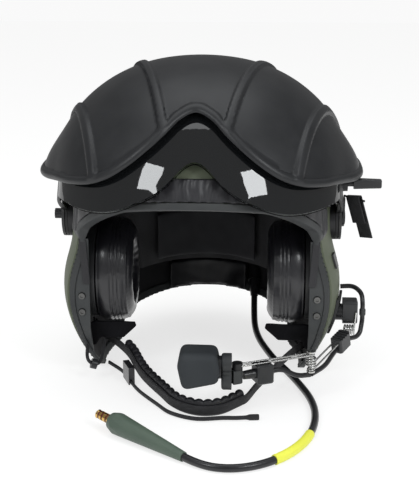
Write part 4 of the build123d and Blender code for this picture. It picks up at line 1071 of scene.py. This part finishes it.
# %% Surface of the ear cushions
# Each row holds a place across and a place out from the ear's axis, in millimetres
cushion_profile = (
    (87.6, 18.6),
    (87.6, 28.0),
    (87.4, 36.8),
    (85.0, 38.2),
    (80.0, 39.6),
    (73.5, 39.9),
    (67.0, 39.4),
    (62.5, 37.6),
    (58.6, 34.0),
    (56.6, 29.0),
    (58.4, 23.6),
    (62.8, 19.4),
    (70.0, 18.4),
    (79.0, 18.4),
)
channel_places = (74.5, 71.3, 68.1)
channel_depth = 1.1
channel_width = 0.6
channel_pucker = 2.6
welt_place = 62.0
welt_proud = 0.7
welt_width = 0.8
welt_pucker = 3.0
pucker_count = 48
pucker_depth = 0.2
welt_pucker_times = 1.3
hole_limit = 26.0
hole_ripple = 0.12
filling_swell = 0.5
filling_size = 14
filling_turns = 3


def cushion_lift(across, out, turn):
    """How far the leather stands out or is drawn in at one place of the cushion."""
    if out < hole_limit:
        return hole_ripple * math.sin(turn * pucker_count / 2)
    lift = 0.0
    for place in channel_places:
        near = math.exp(-(((across - place) / channel_width) ** 2))
        lift -= channel_depth * near
        spread = math.exp(-(((across - place) / (channel_width * channel_pucker)) ** 2))
        lift += pucker_depth * spread * math.sin(turn * pucker_count + place)
    lift += welt_proud * math.exp(-(((across - welt_place) / welt_width) ** 2))
    spread = math.exp(-(((across - welt_place) / welt_pucker) ** 2))
    lift += pucker_depth * spread * math.sin(turn * pucker_count * welt_pucker_times)
    round_place = (math.cos(turn) * filling_turns, math.sin(turn) * filling_turns)
    return lift + filling_swell * noise.noise(Vector((across / filling_size, *round_place)))


print("cushion channels:", len(channel_places))

# %% [markdown]
# The two rings are one profile turned about each ear's axis and stretched a little upright,
# since an ear is taller than it is wide. The back stays flat, where the wings hold it.

# %% Ear cushions
ear_middle = Vector((0, -5, 5))
ear_oval = 1.12
cushion_turns = 160
cushion_back = 87.7

for hand, side in (("left", 1), ("right", -1)):
    closed = [Vector((*p, 0)) for p in cushion_profile]
    loop_line = smooth_line([closed[-1]] + closed + closed[:2], 9)[9:-18]
    ring = len(loop_line)
    points = []
    for step in range(cushion_turns):
        turn = 2 * math.pi * step / cushion_turns
        for index, place in enumerate(loop_line):
            ahead = loop_line[(index + 1) % ring] - loop_line[index - 1]
            outward = Vector((ahead.y, -ahead.x)).normalized()
            lift = cushion_lift(place.x, place.y, turn)
            across = place.x + outward.x * lift
            out = place.y + outward.y * lift
            x = side * min(across, cushion_back)
            y = ear_middle.y + out * math.sin(turn)
            z = ear_middle.z + out * math.cos(turn) * ear_oval
            points.append(Vector((x, y, z)) * mm)
    faces = []
    for i in range(cushion_turns):
        for j in range(ring):
            a, b = (i + 1) % cushion_turns, (j + 1) % ring
            faces.append((i * ring + j, a * ring + j, a * ring + b, i * ring + b))
    cushion = new_piece(f"ear_ring_{hand}", points, faces, finishes["leather"], "helmet")
    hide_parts(f"ear_cushion_{hand}")
print("ear cushion section points", ring)

# %% [markdown]
# Small pads, leather covers and foam start from the frame's own solid, which has the right place.
# A fine remesh gives them even faces, smoothing rounds their edges, and a function of place
# then puffs or gathers the surface, as filling and thread do.

# %% Soft copy helper
def soft_copy(node, name, voxel, rounds, material, body="helmet", lift=None, shape=None):
    """A rounded soft piece in the place of a node, lifted along its normals or shaped by place."""
    piece = bpy.data.objects.new(name, nodes[node].data.copy())
    bpy.context.scene.collection.objects.link(piece)
    merged(piece, 0.01 * mm)
    even = piece.modifiers.new("even", "REMESH")
    even.mode = "VOXEL"
    even.voxel_size = voxel * mm
    even.use_smooth_shade = True
    rounder = piece.modifiers.new("rounder", "SMOOTH")
    rounder.factor = 0.5
    rounder.iterations = rounds
    keep_shape(piece)
    if lift:
        moved = [v.co + v.normal * lift(v.co / mm, v.normal) * mm for v in piece.data.vertices]
        for vertex, place in zip(piece.data.vertices, moved):
            vertex.co = place
    if shape:
        for vertex in piece.data.vertices:
            vertex.co = shape(vertex.co / mm) * mm
    piece.data.materials.clear()
    piece.data.materials.append(material)
    piece.data.shade_smooth()
    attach(piece, body)
    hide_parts(node)
    return piece


print("soft copy helper ready")

# %% [markdown]
# Over both ear lobes the trim's lip and the ends of the brow leather go under the shell's edge,
# so the olive shell shows at the outline. The shell's width at each level says how far in they lie.

# %% Tuck under the shell's edge
front_stretch = 1.06
rear_stretch = 1.21
level_step = 4.0
tuck = 1.7
tuck_top = 52.0
tuck_top_fade = 12
tuck_rear = 40.0
tuck_rear_fade = 24
rear_proud = 0.3


def out_of(place):
    """Distance from the upright axis, as if the shell were round."""
    return math.hypot(place.x, place.y / (front_stretch if place.y < 0 else rear_stretch))


shell_reach = {}
for vertex in nodes["shell"].data.vertices:
    spot = vertex.co / mm
    level = round(spot.z / level_step)
    shell_reach[level] = max(shell_reach.get(level, 0.0), out_of(spot))


def tucked(place):
    """In front of both ears a piece is tucked into the shell, so that the shell's edge shows."""
    level = round(place.z / level_step)
    out = out_of(place)
    if level not in shell_reach:
        return place
    front = smooth_step((tuck_rear - place.y) / tuck_rear_fade)
    limit = shell_reach[level] + rear_proud - (tuck + rear_proud) * front
    if out <= limit:
        return place
    share = smooth_step((tuck_top - place.z) / tuck_top_fade)
    squeeze = 1 + (limit / out - 1) * share
    return Vector((place.x * squeeze, place.y * squeeze, place.z))


print("shell levels measured:", len(shell_reach))

# %% [markdown]
# A rubber lip is pressed over the shell's edge all round. Under the visors a band of leather
# is drawn over the brow and gathered in many small upright folds.

# %% Edge trim and brow band
gather_depth = 0.55
gather_count = 74
gather_drift = 5
edge_facing = 0.8


def gathers(place, normal):
    """Upright gathers of the brow leather, left out on faces that look up or down."""
    turn = math.atan2(place.x, -place.y)
    drift = noise.noise(Vector((turn * 6, place.z / 20, 3.0)))
    fold = math.sin(turn * gather_count + drift * gather_drift)
    return gather_depth * fold if abs(normal.z) < edge_facing else 0.0


rubber = finishes["trim_rubber"]
trim = soft_copy("edge_trim", "trim_lip", 0.8, 2, rubber, shape=tucked)
brow = soft_copy(
    "brow_leather", "brow_band", 0.9, 4, strap_leather, lift=gathers, shape=tucked
)
print("trim faces", len(trim.data.polygons), "brow faces", len(brow.data.polygons))

# %% [markdown]
# The microphone sits in a foam cover, and the pads inside are foam in cloth or leather.
# None is a perfect block, so a slow noise makes each a little fuller here and flatter there.

# %% Foam cover and fitting pads
slack_depth = 0.5
slack_size = 11


def slack(place, normal):
    """A light, uneven fullness."""
    return slack_depth * noise.noise(place / slack_size)


foam_finish = finishes["mic_foam"]
foam = soft_copy("mic_foam", "microphone_cover", 0.9, 22, foam_finish, "microphone")
# Each row holds a node, a name, the size of a face in mm, smoothing rounds, a slot and a filling
for node, name, voxel, rounds, slot, fill in (
    ("crown_pad", "crown_cushion", 1.4, 10, "pad_foam", 0.7),
    ("head_pads", "fitting_pads", 1.4, 10, "pad_foam", 0.7),
    ("nape_roll", "nape_cushion", 1.3, 8, "leather", 0.8),
    ("spacer_pads", "cup_spacers", 1.3, 6, "pad_foam", 0.8),
):
    pad = soft_copy(node, name, voxel, rounds, finishes[slot], lift=slack)
print("foam faces", len(foam.data.polygons))

# %% [markdown]
# Leather wings hold the ear cushions from behind, and a thin strip lies at each temple.
# The strips are laid flat over the upper ends of the grey flanges, so they shift out and thin down.

# %% Leather wings and temple strips
strip_out = 8.0
strip_forward = 3.4
strip_thin_share = 0.45
strip_face = -47.0


def laid_over(place):
    """The temple strips lie thin over the flanges' upper ends."""
    side = math.copysign(strip_out, place.x)
    deep = (place.y - strip_face) * strip_thin_share + strip_face - strip_forward
    return Vector((place.x + side, deep, place.z))


# The wings wear the darkened leather, whose dark colour is painted shade.
wings = soft_copy("harness_wings", "leather_wings", 0.8, 6, painted_shade_leather, lift=slack)
temples = soft_copy(
    "temple_straps", "temple_strips", 0.45, 3, strap_leather, shape=laid_over
)
print("wing faces", len(wings.data.polygons), "strip faces", len(temples.data.polygons))

# %% [markdown]
# The chin strap is two layers: a padded leather sleeve with a scalloped inner edge,
# and woven webbing along its front that reaches the studs in both ear lobes.
# They lie on one sloping plane, so both follow the same line at different distances.

# %% Chin strap line
strap_level = -54.5
strap_slope = 0.15
chin_half_width = 85
chin_reach = 120
# The strap's way from the left of the picture to the right, in shares of the two sizes above
strap_rear_shares = ((-1.094, 0.15), (-1.076, 0.075), (-1.0, 0.008), (-0.87, -0.092))
pad_shares = (
    (-0.734, -0.22),
    (-0.646, -0.329),
    (-0.565, -0.476),
    (-0.467, -0.618),
    (-0.291, -0.802),
    (-0.154, -0.932),
    (0.036, -0.998),
    (0.229, -0.981),
    (0.384, -0.893),
    (0.438, -0.855),
)
strap_front_shares = (
    (0.529, -0.705),
    (0.652, -0.535),
    (0.851, -0.275),
    (0.995, -0.125),
    (1.09, 0.0),
    (1.1, 0.06),
)
strap_shares = strap_rear_shares + pad_shares + strap_front_shares
strap_up = Vector((0, -strap_slope, 1)).normalized()
strap_y = Vector((0, 1, strap_slope)).normalized()


def chin_places(shares, beside=0.0):
    """Places in millimetres on the strap's plane, moved to the front by beside."""
    flat = [Vector((x * chin_half_width, y * chin_reach)) for x, y in shares]
    moved = []
    for index, place in enumerate(flat):
        run = (flat[min(index + 1, len(flat) - 1)] - flat[max(index - 1, 0)]).normalized()
        moved.append(place + Vector((run.y, -run.x)) * beside)
    return moved


def on_strap_plane(flat):
    """Metres on the sloping plane for flat places in millimetres."""
    origin = Vector((0, 0, strap_level))
    return [(origin + Vector((1, 0, 0)) * p.x + strap_y * p.y) * mm for p in flat]


print("strap points:", len(strap_shares))

# %% [markdown]
# The pad is a soft tube of leather with a flat, rounded section and full lobes.
# Thread draws it in between two lobes, on its inner side and along its top, so it looks scalloped.

# %% Scalloped chin pad
pad_wall = 6.5
pad_width = 14.5
pad_sides = 28
pad_across_power = 0.7
pad_up_power = 0.55
scallops = 22
scallop_depth = 2.2
scallop_rise = 1.6
scallop_power = 0.6
end_size = 0.75
end_growth = 40


def pad_section(share):
    """The pad's crowned section, drawn in at each scallop and a little smaller at both ends."""
    lobe = abs(math.sin(share * scallops * math.pi)) ** scallop_power
    end = min(1.0, share * end_growth + end_size, (1 - share) * end_growth + end_size)
    pairs = []
    for step in range(pad_sides):
        angle = 2 * math.pi * step / pad_sides
        a, u = math.cos(angle), math.sin(angle)
        across = abs(a) ** pad_across_power * math.copysign(pad_wall / 2, a)
        if a < 0:
            across += scallop_depth * (1 - lobe) * abs(a)
        tall = pad_width / 2 - (scallop_rise * (1 - lobe) if u > 0 else 0)
        rise = abs(u) ** pad_up_power * math.copysign(tall, u)
        pairs.append((across * end * mm, rise * end * mm))
    return pairs


pad_line = even_line(smooth_line(on_strap_plane(chin_places(pad_shares)), 12), 260)
chin_pad = swept("scalloped_pad", pad_line, strap_up, pad_section, strap_leather, "helmet")
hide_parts("chin_pad")
print("pad length", round(line_length(pad_line) / mm), "mm")

# %% [markdown]
# The webbing is one flat strip in front of the pad, from stud to stud. Its line is the pad's
# line moved forward, so both bend alike, and a small gap keeps the two skins apart.

# %% Chin webbing
strap_wall = 1.8
strap_width = 8.0
strap_gap = 0.3

strap_offset = pad_wall / 2 + strap_gap + strap_wall / 2
strap_line = even_line(smooth_line(on_strap_plane(chin_places(strap_shares, strap_offset)), 12), 240)
strap_flat = flat_section(strap_wall * mm, strap_width * mm)
weave = finishes["webbing"]
chin_strap = swept(
    "chin_webbing", strap_line, strap_up, lambda share: strap_flat, weave, "helmet"
)
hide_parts("chin_strap")
print("strap length", round(line_length(strap_line) / mm), "mm")

# %% [markdown]
# The strap's loose end runs beside it on the floor and ends in a folded, thicker tip.
# It could be draped as cloth, but webbing this stiff keeps its edge upright on a floor,
# so it is swept along the strap's line moved further out, all at one level.

# %% Strap tail
tail_end_shares = ((0.39, -1.04), (0.516, -1.026), (0.6, -1.02))
tail_wall = 2.0
tail_width = 3.4
tail_level = -77.8
tail_offset = 8.25
tip_share = 0.945
tip_rise = 0.02
tip_thicker = 1.6
tip_wider = 1.2
tip_swell = 1.3
tip_end_fade = 0.004
tip_end_size = 0.6

tail_flat = chin_places(strap_shares, tail_offset)[3:12] + chin_places(tail_end_shares)
tail_points = [Vector((p.x, p.y, tail_level)) * mm for p in tail_flat]
tail_line = even_line(smooth_line(tail_points, 12), 160)


def tail_section(share):
    """The tail's flat section, thicker at the folded tip."""
    rise = smooth_step((share - tip_share) / tip_rise)
    swell = tip_swell * rise * smooth_step((1.0 - share) / tip_end_fade + tip_end_size)
    return flat_section((tail_wall + swell * tip_thicker) * mm, (tail_width + swell * tip_wider) * mm)


tail = swept("strap_end", tail_line, upright, tail_section, weave, "helmet")
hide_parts("strap_tail")
print("tail length", round(line_length(tail_line) / mm), "mm")

# %% [markdown]
# The webbing tab at the left pivot is one strip folded over the hanger's bar and sewn to itself.
# Seen from its edge the fold is a long hairpin, so the strip is swept along that hairpin.

# %% Webbing tab
tab_top = Vector((125.8, -8, 71))
tab_lean = math.radians(16)
tab_turn = math.radians(40)
tab_length = 36.5
tab_back_length = 22.0
tab_width = 15.6
tab_wall = 1.25
tab_bend = 1.7
tab_diagonal = tab_bend * 0.71
tab_side_shift = -3.5
tab_down = Vector((math.sin(tab_lean), 0, -math.cos(tab_lean)))
tab_across = Vector((-math.sin(tab_turn), math.cos(tab_turn), 0))
tab_across = (tab_across - tab_down * tab_across.dot(tab_down)).normalized()
tab_out = tab_across.cross(tab_down)

tab_flat = [(tab_length * share, -tab_bend) for share in (1, 0.66, 0.33, 0)]
tab_flat += [(-tab_diagonal, -tab_diagonal), (-tab_bend, 0), (-tab_diagonal, tab_diagonal)]
tab_flat += [(tab_back_length * share, tab_bend) for share in (0, 0.5, 1)]
tab_start = tab_top + tab_across * tab_side_shift
tab_places = [(tab_start + tab_down * down + tab_out * out) * mm for down, out in tab_flat]
tab_line = even_line(smooth_line(tab_places, 10), 90)
tab_section = flat_section(tab_wall * mm, tab_width * mm)
tab = swept("folded_tab", tab_line, tab_across, lambda share: tab_section, weave, "helmet")
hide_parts("webbing_tab")
print("tab strip length", round(line_length(tab_line) / mm), "mm")

# %% [markdown]
# Under the right lobe hangs a short elastic cord loop. An elastic cord makes even bends,
# so it follows the route of its solid as one smooth curve, and both its ends go into the lobe.

# %% Elastic loop
bungee_radius = 1.45 * mm
bungee_up = Vector((0.3, 0.2, 1))
bungee_route = (
    (-95, -40.3, -54),
    (-95, -47.5, -57),
    (-93, -51.5, -64),
    (-84, -49.5, -67),
    (-82, -38, -59),
    (-82.5, -28.2, -52),
)
loop_line = curve_places(bungee_route)
loop_section = round_section(bungee_radius, 14)
elastic = swept(
    "elastic_loop", loop_line, bungee_up, lambda share: loop_section, weave, "helmet"
)
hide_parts("bungee_loop")
print("elastic length", round(line_length(loop_line) / mm), "mm")

# %% [markdown]
# The microphone cable crosses the boom's swing axis in the open. A small rubber bead sits there,
# where it hides the cable's joint in every position.

# %% Cable bead
bead_place = Vector((137.5, -20, -26)) * mm
bead_tall = 7.0 * mm
bead_radius = 2.7 * mm
bead_narrowing = 0.28
narrow_from = 0.6
bead_line = even_line([bead_place + upright * bead_tall * share / 2 for share in (-1, 1)], 12)


def bead_section(share):
    """A round section that narrows at both ends."""
    narrow = smooth_step((abs(share * 2 - 1) - narrow_from) / (1 - narrow_from))
    return round_section(bead_radius * (1 - bead_narrowing * narrow), 16)


bead_up = Vector((0, 1, 0))
bead = swept("cable_bead", bead_line, bead_up, bead_section, rubber, "boom_hub")
print("bead", round(bead_tall / mm, 1), "mm tall")
